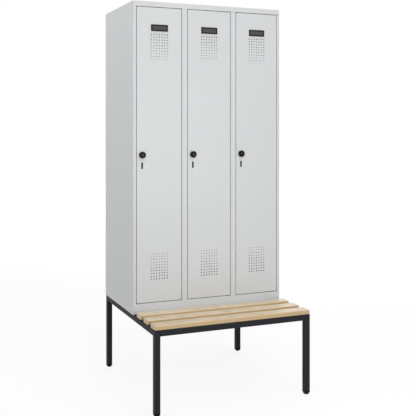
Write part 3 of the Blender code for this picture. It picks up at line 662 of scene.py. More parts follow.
def round_long_edges(bm, axis, radius, segments):
    """Rounds a box's edges that run along an axis."""
    edges = []
    for edge in bm.edges:
        run = edge.verts[1].co - edge.verts[0].co
        if abs(run[axis]) > run.length / 2:
            edges.append(edge)
    bmesh.ops.bevel(bm, geom=edges, offset=radius, offset_type="OFFSET", segments=segments,
                    profile=0.5, affect="EDGES", clamp_overlap=True)


def arc(centre, radius, start, end, steps):
    """Points on an arc, both ends included; angles in degrees."""
    points = []
    for step in range(steps + 1):
        angle = math.radians(start + (end - start) * step / steps)
        points.append((centre[0] + radius * math.cos(angle), centre[1] + radius * math.sin(angle)))
    return points


def rounding(radius, steps):
    """Pairs of inset and advance that round an edge off, from its end face to its side."""
    pairs = []
    for step in range(steps + 1):
        angle = math.pi / 2 * step / steps
        pairs.append((radius * (1 - math.sin(angle)), radius * (1 - math.cos(angle))))
    return pairs


def rounded_rectangle(width, height, corner, steps):
    """A rectangle's outline with round corners, centred on zero."""
    x = width / 2 - corner
    y = height / 2 - corner
    outline = []
    for turn, (right, up) in enumerate(((x, y), (-x, y), (-x, -y), (x, -y))):
        outline += arc((right, up), corner, 90 * turn, 90 * turn + 90, steps)
    return outline


def slot_ring(radius, rise=0.0, steps=24):
    """Points round an upright slot with round ends, or round a circle where the rise is zero."""
    points = []
    for step in range(2 * steps):
        angle = math.pi * (step + 0.5) / steps
        lift = rise if step < steps else -rise
        points.append((radius * math.cos(angle), lift + radius * math.sin(angle)))
    return points


def loft(bm, matrix, rings):
    """Adds a solid through flat outlines of (outline, height) along a matrix's Z, closed at both ends."""
    loops = []
    for outline, height in rings:
        loops.append([bm.verts.new(matrix @ Vector((x, y, height))) for x, y in outline])
    bm.faces.new(loops[0])
    bm.faces.new(list(reversed(loops[-1])))
    for lower, upper in zip(loops, loops[1:]):
        for index in range(len(lower)):
            after = (index + 1) % len(lower)
            bm.faces.new((lower[index], upper[index], upper[after], lower[after]))


def loft_rectangles(bm, matrix, width, height, rings, steps):
    """Adds a solid through rectangles with round corners, each one (inset, corner, height along Z)."""
    outlines = []
    for inset, corner, lift in rings:
        outline = rounded_rectangle(width - 2 * inset, height - 2 * inset, corner, steps)
        outlines.append((outline, lift))
    loft(bm, matrix, outlines)


def prism(bm, outline, matrix, low, high):
    """Adds a closed outline in X and Y as a solid from low to high along a matrix's Z."""
    loft(bm, matrix, [(outline, low), (outline, high)])


def revolve(bm, profile, steps, matrix):
    """Adds a turned solid: a profile of (radius, height) about Z, closed on the axis at both ends."""
    rings = []
    for radius, height in profile:
        if radius == 0:
            rings.append([bm.verts.new(matrix @ Vector((0, 0, height)))])
            continue
        ring = []
        for step in range(steps):
            angle = math.tau * step / steps
            point = Vector((radius * math.cos(angle), radius * math.sin(angle), height))
            ring.append(bm.verts.new(matrix @ point))
        rings.append(ring)
    for upper, lower in zip(rings, rings[1:]):
        for step in range(steps):
            after = (step + 1) % steps
            corners = [upper[step % len(upper)], upper[after % len(upper)],
                       lower[after % len(lower)], lower[step % len(lower)]]
            unique = []
            for vert in corners:
                if vert not in unique:
                    unique.append(vert)
            bm.faces.new(unique)


def sized(shares, radius, height):
    """A profile from shares of its radius and height."""
    return [(radius * reach, height * lift) for reach, lift in shares]


def facing_front(x, y, z):
    """A matrix whose Z points out of the doors, at a place."""
    return Matrix.Translation((x, y, z)) @ Matrix.Rotation(math.pi / 2, 4, "X")


def facing_back(x, y, z):
    """A matrix whose Z points to the rear, at a place."""
    return Matrix.Translation((x, y, z)) @ Matrix.Rotation(-math.pi / 2, 4, "X")


def cross_outline(reach, half):
    """A plus-shaped outline of 24 points."""
    corners = []
    for turn in range(4):
        for x, y in ((reach, -half), (reach, half), (half, half)):
            for step in range(turn):
                x, y = -y, x
            corners.append((x, y))
    outline = []
    for (x, y), (next_x, next_y) in zip(corners, corners[1:] + corners[:1]):
        outline += [(x, y), ((x + next_x) / 2, (y + next_y) / 2)]
    return outline


def screw_head(bm, matrix, radius, height):
    """Adds a pan head with a cross recess, which stands on a matrix's XY plane and faces its Z."""
    top, floor = [cross_outline(radius * reach, radius * half) for reach, half in CROSS_SHARES]
    rings = []
    for reach, lift in sized(SCREW_HEAD_SHARES, radius, height):
        rings.append(([tuple(Vector(point).normalized() * reach) for point in top], lift))
    rings += [(top, height), (floor, height * CROSS_FLOOR_SHARE)]
    loft(bm, matrix, rings)


# Sheet metal


def fold_points(corners):
    """A sheet's fold line: each corner is (a, b, radius), and a radius of 0 is a sharp fold."""
    points = []
    last = len(corners) - 1
    for index, (a, b, radius) in enumerate(corners):
        if radius == 0 or index in (0, last):
            points.append((a, b))
            continue
        here = Vector((a, b))
        back = (Vector(corners[index - 1][:2]) - here).normalized()
        ahead = (Vector(corners[index + 1][:2]) - here).normalized()
        centre = here + (back + ahead) * radius
        for step in range(FOLD_STEPS + 1):
            angle = math.pi / 2 * step / FOLD_STEPS
            offset = ahead * radius * math.cos(angle) + back * radius * math.sin(angle)
            points.append(tuple(centre - offset))
    return points


def thicken(item):
    """Gives a sheet its wall, inside the surface that was drawn."""
    modifier = item.modifiers.new("wall", "SOLIDIFY")
    modifier.thickness = SHEET
    modifier.offset = -1.0
    modifier.use_even_offset = True


def folded_sheet(name, corners, low, high, axis):
    """An unfinished folded sheet along Z or X, with its material on the left of the fold line."""
    bm = bmesh.new()
    points = fold_points(corners)
    line = [bm.verts.new((a, b, low) if axis == "Z" else (low, a, b)) for a, b in points]
    edges = [bm.edges.new(pair) for pair in zip(line, line[1:])]
    grown = bmesh.ops.extrude_edge_only(bm, edges=edges)["geom"]
    moved = [part for part in grown if isinstance(part, bmesh.types.BMVert)]
    bmesh.ops.translate(bm, verts=moved, vec=(0, 0, high - low) if axis == "Z" else (high - low, 0, 0))
    bm.normal_update()
    (a, b), (next_a, next_b) = points[:2]
    right_a = next_b - b
    right_b = a - next_a
    outward = Vector((right_a, right_b, 0) if axis == "Z" else (0, right_a, right_b))
    if edges[0].link_faces[0].normal.dot(outward) < 0:
        bmesh.ops.reverse_faces(bm, faces=bm.faces)
    item = mesh_item(name, bm, keep_normals=True)
    thicken(item)
    return item


def stop_hem(x, inner_end):
    """The hemmed door stop that stands out from a post's return, to the right."""
    front = FRONT_Y + POST_RETURN
    back = front + HEM_SPACING
    return [(x, front, 0), (x + STOP_LIP, front, 0), (x + STOP_LIP, back, 0), (inner_end, back, 0)]


def make_end_clearance():
    """The notches that let the header and the sill pass in front of the posts."""
    half = RUN_HALF_WIDTH + CLEARANCE / 2
    front = FRONT_Y - OVERRUN
    step = FRONT_Y + HEADER_RETURN + CLEARANCE
    back = REAR_Y + OVERRUN
    bm = bmesh.new()
    for inner, sheet, outer in ((OPENING_TOP - CLEARANCE, INNER_TOP, TOP_Z + OVERRUN),
                                (OPENING_BOTTOM + CLEARANCE, INNER_BOTTOM, BASE_Z - OVERRUN)):
        outline = [(front, inner), (step, inner), (step, sheet), (back, sheet), (back, outer), (front, outer)]
        prism(bm, outline, ALONG_X, -half, half)
    return mesh_item("end_clearance", bm)


def build_walls():
    """The side panels and the partitions, each folded with its post."""
    clearance = make_end_clearance()
    back = FRONT_Y + POST_RETURN
    lines = {
        "side_panel_left": [(-HALF_WIDTH, REAR_Y, 0), (-HALF_WIDTH, FRONT_Y, OUTER_FOLD),
                            (-POST_EDGE, FRONT_Y, OPENING_FOLD), *stop_hem(-POST_EDGE, -POST_EDGE)],
        "side_panel_right": [(POST_EDGE, back, 0), (POST_EDGE, FRONT_Y, OPENING_FOLD),
                             (HALF_WIDTH, FRONT_Y, OUTER_FOLD), (HALF_WIDTH, REAR_Y, 0)],
    }
    for node in PARTITIONS:
        low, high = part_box(node)
        left_edge = low.x
        right_edge = high.x - STOP_LIP
        web = (left_edge + right_edge) / 2 + SHEET / 2
        rear = high.y - SHEET
        lines[node] = [(left_edge, back, 0), (left_edge, FRONT_Y, OPENING_FOLD),
                       (right_edge, FRONT_Y, OPENING_FOLD), *stop_hem(right_edge, web),
                       (web, rear, 0), (web + WEB_FLANGE, rear, 0)]
    for node, line in lines.items():
        item = folded_sheet(f"{node}_sheet", line, BASE_Z, TOP_Z, "Z")
        cut(item, clearance)
        finish_piece(item, LIGHT_GREY, CABINET, (node,))
    remove_item(clearance)


def add_pin_hole(bm, pin, z):
    """Adds a cutter for the hole that a hinge pin passes through, at a height."""
    middle = middle_of(pin)
    outline = slot_ring(PIN_RADIUS + CLEARANCE, steps=PIN_HOLE_STEPS)
    prism(bm, outline, Matrix.Translation((middle.x, middle.y, z)), -OVERRUN, OVERRUN)


def make_return_cutter():
    """The corner notches and the pin holes in the header's and the sill's returns."""
    front = FRONT_Y + OPENING_FOLD
    back = FRONT_Y + HEADER_RETURN + OVERRUN
    reach = HEADER_RETURN_LIP + OVERRUN
    heights = ((OPENING_TOP - OVERRUN, OPENING_TOP + reach),
               (OPENING_BOTTOM - reach, OPENING_BOTTOM + OVERRUN))
    bm = bmesh.new()
    for number in COMPARTMENTS:
        low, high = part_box(f"door_panel_{number}")
        left = low.x - DOOR_GAP
        right = high.x + DOOR_GAP
        for start, end in ((left, left + LOCK_SIDE_NOTCH), (right - HINGE_SIDE_NOTCH, right)):
            for bottom, top in heights:
                add_box(bm, (start, front, bottom), (end, back, top))
        add_pin_hole(bm, f"hinge_pin_upper_{number}", OPENING_TOP)
        add_pin_hole(bm, f"hinge_pin_lower_{number}", OPENING_BOTTOM)
    return mesh_item("return_cutter", bm)


def build_ends():
    """The top panel with its header, and the bottom panel with its sill."""
    cutter = make_return_cutter()
    return_y = FRONT_Y + HEADER_RETURN
    lines = {
        "top_panel": [(REAR_Y, TOP_Z, 0), (FRONT_Y, TOP_Z, OUTER_FOLD),
                      (FRONT_Y, OPENING_TOP, OPENING_FOLD), (return_y, OPENING_TOP, 0),
                      (return_y, OPENING_TOP + HEADER_RETURN_LIP, 0)],
        "bottom_panel": [(return_y, OPENING_BOTTOM - HEADER_RETURN_LIP, 0), (return_y, OPENING_BOTTOM, 0),
                         (FRONT_Y, OPENING_BOTTOM, OPENING_FOLD), (FRONT_Y, BASE_Z, OUTER_FOLD),
                         (REAR_Y, BASE_Z, 0)],
    }
    for node, line in lines.items():
        item = folded_sheet(f"{node}_sheet", line, -RUN_HALF_WIDTH, RUN_HALF_WIDTH, "X")
        cut(item, cutter)
        finish_piece(item, LIGHT_GREY, CABINET, (node,))
    remove_item(cutter)


def build_back():
    """The back panel, with a pressed rib behind each compartment."""
    flange_y = REAR_Y - WEB_FLANGE
    line = [(RUN_HALF_WIDTH, flange_y, 0), (RUN_HALF_WIDTH, REAR_Y, OUTER_FOLD)]
    ramp = (BACK_RIB_WIDTH - BACK_RIB_FLAT) / 2
    floor = REAR_Y - BACK_RIB_DEPTH
    for number in reversed(COMPARTMENTS):
        right = middle_of(f"door_panel_{number}").x + BACK_RIB_WIDTH / 2
        left = right - BACK_RIB_WIDTH
        line += [(right, REAR_Y, 0), (right - ramp, floor, 0), (left + ramp, floor, 0), (left, REAR_Y, 0)]
    line += [(-RUN_HALF_WIDTH, REAR_Y, OUTER_FOLD), (-RUN_HALF_WIDTH, flange_y, 0)]
    item = folded_sheet("back_panel_sheet", line, INNER_BOTTOM, INNER_TOP, "Z")
    finish_piece(item, LIGHT_GREY, CABINET, ("back_panel",))


def build_shelves():
    """Hat shelves, each folded down at the rear and round to a lip in front."""
    for number in COMPARTMENTS:
        node = f"hat_shelf_{number}"
        low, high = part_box(node)
        line = [(high.y, high.z - SHELF_REAR_FOLD, 0), (high.y, high.z, 0), (low.y, high.z, OPENING_FOLD),
                (low.y, low.z, 0), (low.y + SHELF_LIP, low.z, 0)]
        item = folded_sheet(f"hat_shelf_sheet_{number}", line, low.x, high.x, "X")
        finish_piece(item, LIGHT_GREY, CABINET, (node,))


# Doors


def lock_place(number):
    """The lock's axis in X and Z."""
    middle = middle_of(f"lock_knob_{number}")
    return middle.x, middle.z


def slot_outline(inset=0.0):
    """The outline of the upright slot in a door, drawn in by an inset."""
    return slot_ring(SLOT_WIDTH / 2 - inset, (SLOT_HEIGHT - SLOT_WIDTH) / 2)


def make_door_punching(number):
    """The perforation, the lock's hole and its slot, and the pin holes, in one cutter."""
    low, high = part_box(f"door_panel_{number}")
    centre = (low.x + high.x) / 2
    bm = bmesh.new()
    for row in range(GRID_ROWS):
        size = HOLE_LARGE + (HOLE_SMALL - HOLE_LARGE) * row / (GRID_ROWS - 1)
        outline = rounded_rectangle(size, size, size * HOLE_CORNER_SHARE, HOLE_STEPS)
        run = row * GRID_PITCH_Z
        for column in range(GRID_COLUMNS):
            x = centre + (column - (GRID_COLUMNS - 1) / 2) * GRID_PITCH_X
            for z in (high.z - GRID_TOP_OFFSET - run, low.z + GRID_BOTTOM_OFFSET + run):
                prism(bm, outline, facing_front(x, FRONT_Y, z), -OVERRUN, OVERRUN)
    x, z = lock_place(number)
    shaft_hole = slot_ring(SHAFT_DIAMETER / 2 + 2 * CLEARANCE)
    prism(bm, shaft_hole, facing_front(x, FRONT_Y, z), -OVERRUN, OVERRUN)
    prism(bm, slot_outline(), facing_front(x, FRONT_Y, z - SLOT_DROP), -OVERRUN, OVERRUN)
    add_pin_hole(bm, f"hinge_pin_upper_{number}", high.z)
    add_pin_hole(bm, f"hinge_pin_lower_{number}", low.z)
    return mesh_item("door_punching", bm)


def make_door_pan(number):
    """A door pan: a sheet with four folded edges and their lips."""
    low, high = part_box(f"door_panel_{number}")
    bm = bmesh.new()
    fold_share = bm.edges.layers.float.new("bevel_weight_edge")
    add_box(bm, low, high)
    bm.normal_update()
    back = max(bm.faces, key=lambda face: face.normal.y)
    front = min(bm.faces, key=lambda face: face.normal.y)
    front_edges = list(front.edges)
    bmesh.ops.inset_region(bm, faces=[back], thickness=DOOR_LIP, use_even_offset=True)
    bmesh.ops.delete(bm, geom=[back], context="FACES_ONLY")
    for edge in front_edges:
        lower = all(vert.co.z < low.z + DOOR_LIP for vert in edge.verts)
        edge[fold_share] = 1.0 if lower else DOOR_FOLD / DOOR_LOWER_FOLD
    item = mesh_item(f"door_sheet_{number}", bm, keep_normals=True)
    folds = item.modifiers.new("folds", "BEVEL")
    folds.width = DOOR_LOWER_FOLD
    folds.segments = FOLD_STEPS
    folds.limit_method = "WEIGHT"
    folds.use_clamp_overlap = True
    thicken(item)
    return item


def build_stiffener(number):
    """The hat section on the inside of the door, on its hinge side."""
    low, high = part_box(f"door_panel_{number}")
    centre = (low.x + high.x) / 2 + STIFFENER_OFFSET
    root = FRONT_Y + 2 * SHEET
    crown = FRONT_Y + SHEET * 3 / 2 + STIFFENER_DEPTH
    half = STIFFENER_WIDTH / 2
    foot = half + STIFFENER_FLANGE
    line = [(centre + foot, root, 0), (centre + half, root, 0), (centre + half, crown, 0),
            (centre - half, crown, 0), (centre - half, root, 0), (centre - foot, root, 0)]
    item = folded_sheet(f"door_stiffener_{number}", line,
                        low.z + STIFFENER_END_GAP, high.z - STIFFENER_END_GAP, "Z")
    finish_piece(item, LIGHT_GREY, f"door_{number}")


def build_doors():
    """Door pans with their punching, made once and set in each opening."""
    first = make_door_pan(1)
    punching = make_door_punching(1)
    cut(first, punching)
    finish_piece(first, LIGHT_GREY, "door_1", ("door_panel_1",))
    remove_item(punching)
    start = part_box("door_panel_1")[0].x
    for number in COMPARTMENTS[1:]:
        node = f"door_panel_{number}"
        mesh = first.data.copy()
        mesh.transform(Matrix.Translation((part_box(node)[0].x - start, 0, 0)))
        dress(new_item(f"door_sheet_{number}", mesh), LIGHT_GREY, f"door_{number}", (node,))
    for number in COMPARTMENTS:
        build_stiffener(number)


# Bench


def build_tubes():
    """The frame's square tubes, with the rails run up to the legs as the welds leave them."""
    rails = {"rail_front": 0, "rail_rear": 0, "rail_middle": 0, "rail_left": 1, "rail_right": 1}
    legs = {f"leg_{end}_{side}": 2 for end in ENDS for side in SIDES}
    for node, axis in {**rails, **legs}.items():
        low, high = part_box(node)
        if node in rails:
            low[axis] -= CLEARANCE
            high[axis] += CLEARANCE
        bm = bmesh.new()
        add_box(bm, low, high)
        round_long_edges(bm, axis, TUBE_CORNER, FOLD_STEPS)
        finish_piece(mesh_item(f"{node}_tube", bm), ANTHRACITE, CABINET, (node,))


def build_feet():
    """Moulded caps that close the legs, rounded underneath."""
    for end in ENDS:
        for side in SIDES:
            node = f"foot_cap_{end}_{side}"
            low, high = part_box(node)
            middle = middle_of(node)
            width = high.x - low.x
            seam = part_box(f"leg_{end}_{side}")[0].z - CLEARANCE
            rings = []
            for inset, rise in rounding(FOOT_ROUNDING, FOLD_STEPS):
                rings.append((inset, TUBE_CORNER + FOOT_ROUNDING - inset, low.z + rise))
            for height in (low.z + FOOT_ROUNDING + TUBE_CORNER, seam):
                rings.append((0, TUBE_CORNER, height))
            bm = bmesh.new()
            loft_rectangles(bm, Matrix.Translation((middle.x, middle.y, 0)), width, width, rings, FOLD_STEPS)
            finish_piece(mesh_item(f"foot_{end}_{side}", bm), FOOT_PLASTIC, CABINET, (node,))


def build_slats():
    """Boards with well rounded long edges and eased ends."""
    for number in SLATS:
        node = f"slat_{number}"
        low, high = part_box(node)
        size = high - low
        end = []
        for inset, advance in rounding(SLAT_END_ROUNDING, END_STEPS):
            end.append((inset, SLAT_ROUNDING - inset / 2, size.x / 2 - advance))
        rings = [(inset, corner, -reach) for inset, corner, reach in end] + end[::-1]
        bm = bmesh.new()
        loft_rectangles(bm, Matrix.Translation(middle_of(node)) @ ALONG_X, size.y, size.z, rings, SLAT_STEPS)
        finish_piece(mesh_item(f"seat_slat_{number}", bm), BEECH[number], CABINET, (node,))


# Welds and fasteners


def weld_bead(bm, start, end):
    """Adds a rippled bead of weld along a joint."""
    run = Vector(end) - Vector(start)
    matrix = Matrix.Translation(start) @ run.to_track_quat("Z", "Y").to_matrix().to_4x4()
    count = 2 * round(run.length / BEAD_RIPPLE)
    rings = []
    for step in range(count + 1):
        share = 1.0 if step % 2 else BEAD_VALLEY_SHARE
        if step in (0, count):
            share = BEAD_END_SHARE
        rings.append((slot_ring(BEAD_RADIUS * share, steps=BEAD_STEPS), run.length * step / count))
    loft(bm, matrix, rings)


def build_weld_beads():
    """Beads in the frame's inner corners and under its joints."""
    bm = bmesh.new()
    for end in ENDS:
        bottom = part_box(f"rail_{end}")[0].z
        for side in SIDES:
            low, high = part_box(f"leg_{end}_{side}")
            inner_x = high.x if side == "left" else low.x
            inner_y = high.y if end == "front" else low.y
            top = high.z - 2 * TUBE_CORNER
            weld_bead(bm, (inner_x, low.y + TUBE_CORNER, bottom), (inner_x, high.y - TUBE_CORNER, bottom))
            weld_bead(bm, (low.x + TUBE_CORNER, inner_y, bottom), (high.x - TUBE_CORNER, inner_y, bottom))
            weld_bead(bm, (inner_x, inner_y, bottom), (inner_x, inner_y, top))
    low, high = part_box("rail_middle")
    for x in (low.x, high.x):
        for y in (low.y, high.y):
            weld_bead(bm, (x, y, low.z + TUBE_CORNER), (x, y, high.z - 2 * TUBE_CORNER))
    finish_piece(mesh_item("frame_weld_beads", bm), ANTHRACITE, CABINET)


def build_slat_screws():
    """Cross-recess screws that come up through the side rails into the slats."""
    bm = bmesh.new()
    for side in SIDES:
        rail = f"rail_{side}"
        for number in SLATS:
            middle = middle_of(f"slat_{number}").y
            for y in (middle - SLAT_SCREW_SPREAD, middle + SLAT_SCREW_SPREAD):
                place = Matrix.Translation((middle_of(rail).x, y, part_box(rail)[0].z))
                place = place @ Matrix.Rotation(math.pi, 4, "X")
                screw_head(bm, place, SCREW_RADIUS, SCREW_HEIGHT)
    finish_piece(mesh_item("slat_screws", bm), ZINC, CABINET)


def build_floor_bolts():
    """Hexagon bolts on washers, which hold the cabinet down on the frame."""
    corner = BOLT_WIDTH / math.sqrt(3)
    washer = [(0, WASHER_HEIGHT), (WASHER_RADIUS - WASHER_EASE, WASHER_HEIGHT),
              (WASHER_RADIUS, WASHER_HEIGHT - WASHER_EASE), (WASHER_RADIUS, 0), (0, 0)]
    head = []
    for reach, lift in sized(BOLT_HEAD_SHARES, corner, BOLT_HEIGHT):
        head.append((arc((0, 0), reach, 0, 360, BOLT_SIDES)[:-1], WASHER_HEIGHT + lift))
    bm = bmesh.new()
    for rail in BOLT_RAILS:
        for x in (-BOLT_REACH, BOLT_REACH):
            place = Matrix.Translation((x, middle_of(rail).y, BASE_Z + SHEET))
            revolve(bm, washer, WASHER_STEPS, place)
            loft(bm, place, head)
    finish_piece(mesh_item("floor_bolts", bm), ZINC, CABINET)


def build_spot_welds():
    """Faint rings that the spot welds leave on the back, over the folded edges inside."""
    columns = [-RUN_HALF_WIDTH + WEB_FLANGE / 2, RUN_HALF_WIDTH - WEB_FLANGE / 2]
    columns += [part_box(node)[1].x - WEB_FLANGE for node in PARTITIONS]
    span = INNER_TOP - INNER_BOTTOM
    count = round(span / SPOT_SPACING)
    profile = sized(SPOT_SHARES, SPOT_RADIUS, SPOT_HEIGHT)
    bm = bmesh.new()
    for x in columns:
        for step in range(count):
            z = INNER_BOTTOM + span * (step + 0.5) / count
            revolve(bm, profile, SPOT_STEPS, facing_back(x, REAR_Y, z))
    finish_piece(mesh_item("back_spot_welds", bm), LIGHT_GREY, CABINET)


def build_door_buffers():
    """Rubber buffers on the door stops, just behind each door's lip."""
    profile = sized(BUFFER_SHARES, BUFFER_RADIUS, BUFFER_HEIGHT)
    bm = bmesh.new()
    for post in ("side_panel_left", *PARTITIONS):
        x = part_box(post)[1].x - STOP_LIP / 2
        for z in (OPENING_BOTTOM + BUFFER_INSET, OPENING_TOP - BUFFER_INSET):
            revolve(bm, profile, BUFFER_STEPS, facing_front(x, FRONT_Y + POST_RETURN, z))
    finish_piece(mesh_item("door_buffers", bm), RUBBER, CABINET)


# Locks and label holders


def build_knob(number):
    """A turn-knob in one piece with its shaft: a raised rim round a face with a groove and a bore."""
    x, z = lock_place(number)
    face = FRONT_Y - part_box(f"key_plug_{number}")[0].y
    tip = FRONT_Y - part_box(f"lock_knob_{number}")[1].y
    knob = KNOB_DIAMETER / 2
    shaft = SHAFT_DIAMETER / 2
    bore = PLUG_DIAMETER / 2 + CLEARANCE
    bore_floor = face - PLUG_LENGTH - CLEARANCE
    inner = bore + KNOB_GROOVE_INSET
    outer = inner + KNOB_GROOVE_WIDTH
    groove = face - KNOB_GROOVE_DEPTH
    dish = knob - KNOB_RIM
    foot = knob - KNOB_FOOT_STEP
    profile = [(0, bore_floor), (bore, bore_floor), (bore, face - KNOB_EASE), (bore + KNOB_EASE, face),
               (inner, face), (inner + KNOB_EASE, groove), (outer - KNOB_EASE, groove), (outer, face),
               (dish - KNOB_DISH_SLOPE, face)]
    profile += arc((dish, KNOB_PROJECTION - KNOB_RIM_EASE), KNOB_RIM_EASE, KNOB_RIM_START, 90, END_STEPS)
    profile += arc((knob - KNOB_EDGE, KNOB_PROJECTION - KNOB_EDGE), KNOB_EDGE, 90, 0, 2 * END_STEPS)
    profile += [(knob, KNOB_FOOT_HEIGHT), (foot, KNOB_FOOT_HEIGHT - KNOB_FOOT_STEP), (foot, CLEARANCE),
                (shaft, CLEARANCE), (shaft, tip), (0, tip)]
    bm = bmesh.new()
    revolve(bm, profile, ROUND_STEPS, facing_front(x, FRONT_Y, z))
    item = mesh_item(f"turn_knob_{number}", bm)
    finish_piece(item, BLACK_PLASTIC, f"knob_{number}", (f"lock_knob_{number}",))


def build_plug(number):
    """The key plug, with eased edges and a dished face round an upright keyhole."""
    x, z = lock_place(number)
    face = FRONT_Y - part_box(f"key_plug_{number}")[0].y
    radius = PLUG_DIAMETER / 2
    rim, dish = [slot_ring(radius * share) for share in PLUG_DISH_SHARES]
    keyhole = slot_ring(KEYHOLE_WIDTH / 2, (KEYHOLE_HEIGHT - KEYHOLE_WIDTH) / 2)
    rings = [(slot_ring(radius), face - PLUG_LENGTH)]
    for reach, height in arc((radius - PLUG_EDGE, face - PLUG_EDGE), PLUG_EDGE, 0, 90, END_STEPS):
        rings.append((slot_ring(reach), height))
    rings += [(rim, face), (dish, face - PLUG_DISH), (keyhole, face - PLUG_DISH),
              (keyhole, face - KEYHOLE_DEPTH)]
    bm = bmesh.new()
    loft(bm, facing_front(x, FRONT_Y, z), rings)
    item = mesh_item(f"key_cylinder_{number}", bm)
    finish_piece(item, CHROME, f"plug_{number}", (f"key_plug_{number}",))


def build_lock_case(number):
    """The case behind the door, bored for the shaft, with the cup that shows in the door's slot."""
    x, z = lock_place(number)
    low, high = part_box(f"lock_case_{number}")
    door = f"door_{number}"
    face = FRONT_Y - low.y
    floor = face - SLOT_POCKET
    slot_place = facing_front(x, FRONT_Y, z - SLOT_DROP)
    bm = bmesh.new()
    add_box(bm, (low.x, FRONT_Y + SHEET + CLEARANCE, low.z), high)
    round_long_edges(bm, 1, CASE_CORNER, END_STEPS)
    item = mesh_item(f"lock_housing_{number}", bm)
    soften(item, CASE_EDGE)
    bm = bmesh.new()
    shaft_bore = slot_ring(SHAFT_DIAMETER / 2 + CLEARANCE)
    prism(bm, shaft_bore, facing_front(x, high.y, z), -OVERRUN, high.y - FRONT_Y)
    prism(bm, slot_outline(CLEARANCE + SLOT_RIM / 2), slot_place, floor - SLOT_RIM, 0)
    bore = mesh_item("case_bore", bm)
    cut(item, bore)
    finish_piece(item, BLACK_PLASTIC, door, (f"lock_case_{number}",))
    remove_item(bore)

    inside = CLEARANCE + SLOT_RIM
    top = face + SLOT_FLANGE_HEIGHT
    cup = [(CLEARANCE, floor - SLOT_RIM), (CLEARANCE, face), (-SLOT_FLANGE, face),
           (-SLOT_FLANGE, face + SLOT_FLANGE_HEIGHT / 2), (-SLOT_FLANGE / 2, top),
           (CLEARANCE + SLOT_RIM / 2, top), (inside, face - CLEARANCE), (inside, floor)]
    bm = bmesh.new()
    loft(bm, slot_place, [(slot_outline(inset), height) for inset, height in cup])
    finish_piece(mesh_item(f"slot_cup_{number}", bm), BLACK_PLASTIC, door)

    bm = bmesh.new()
    for drop in CASE_SCREW_DROPS:
        screw_head(bm, facing_back(x, high.y, z - drop), CASE_SCREW_RADIUS, CASE_SCREW_HEIGHT)
    finish_piece(mesh_item(f"case_screws_{number}", bm), ZINC, door)


def build_cam(number):
    """The flat arm at the shaft's end, which turns behind the door stop."""
    x, z = lock_place(number)
    low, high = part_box(f"lock_cam_{number}")
    place = facing_front(x, low.y, z)
    rear = low.y - high.y
    half = CAM_WIDTH / 2
    outline = arc((0, CAM_REACH - half), half, 0, 180, CAM_STEPS) + arc((0, 0), half, 180, 360, CAM_STEPS)
    bm = bmesh.new()
    prism(bm, outline, place, rear, 0)
    item = mesh_item(f"locking_cam_{number}", bm)
    bm = bmesh.new()
    prism(bm, slot_ring(SHAFT_DIAMETER / 2 + CLEARANCE), place, rear - OVERRUN, OVERRUN)
    hole = mesh_item("cam_hole", bm)
    cut(item, hole)
    soften(item, CAM_EDGE)
    finish_piece(item, ZINC, f"knob_{number}", (f"lock_cam_{number}",))
    remove_item(hole)


def build_label_holder(number):
    """A moulded frame with eased edges round a window, and a card in the window."""
    node = f"label_holder_{number}"
    low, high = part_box(node)
    middle = middle_of(node)
    size = high - low
    place = facing_front(middle.x, low.y, middle.z)
    eased = LABEL_EASE * LABEL_EASE_SHARE
    window_eased = WINDOW_EASE / 3
    outer_corner, eased_corner, window_corner = WINDOW_CORNERS
    frame_rings = [
        (0, LABEL_CORNER, -size.y), (0, LABEL_CORNER, -LABEL_EASE), (eased, LABEL_CORNER, -eased),
        (LABEL_EASE, LABEL_FACE_CORNER, 0), (LABEL_RIM - WINDOW_EASE, outer_corner, 0),
        (LABEL_RIM - window_eased, eased_corner, -window_eased),
        (LABEL_RIM, window_corner, -WINDOW_EASE), (LABEL_RIM, window_corner, -WINDOW_DEPTH)]
    bm = bmesh.new()
    loft_rectangles(bm, place, size.x, size.z, frame_rings, END_STEPS)
    item = mesh_item(f"label_frame_{number}", bm)
    finish_piece(item, LABEL_PLASTIC, f"door_{number}", (node,))

    inset = LABEL_RIM + CLEARANCE
    card_face = CARD_THICKNESS - WINDOW_DEPTH
    card_rings = [(inset, CARD_CORNER, CARD_GAP - WINDOW_DEPTH), (inset, CARD_CORNER, card_face - CARD_GAP),
                  (inset + CARD_GAP, CARD_CORNER, card_face)]
    bm = bmesh.new()
    loft_rectangles(bm, place, size.x, size.z, card_rings, HOLE_STEPS)
    finish_piece(mesh_item(f"name_card_{number}", bm), CARD, f"door_{number}")


# Fittings inside


def build_coat_rail(number):
    """A round rail with a socket at each end."""
    node = f"coat_rail_{number}"
    low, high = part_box(node)
    half = (high.x - low.x) / 2
    rail = RAIL_DIAMETER / 2
    socket = SOCKET_DIAMETER / 2
    shoulder = half - SOCKET_LENGTH
    end = [(0, half), (socket - SOCKET_EASE / 2, half), (socket, half - SOCKET_EASE / 2),
           (socket, shoulder + SOCKET_EASE), (socket - SOCKET_EASE, shoulder),
           (rail + SOCKET_EASE, shoulder), (rail, shoulder - SOCKET_EASE)]
    profile = end + [(radius, -height) for radius, height in reversed(end)]
    turn = Matrix.Translation(middle_of(node)) @ Matrix.Rotation(math.pi / 2, 4, "Y")
    bm = bmesh.new()
    revolve(bm, profile, ROUND_STEPS, turn)
    finish_piece(mesh_item(f"hanging_rail_{number}", bm), ZINC, CABINET, (node,))


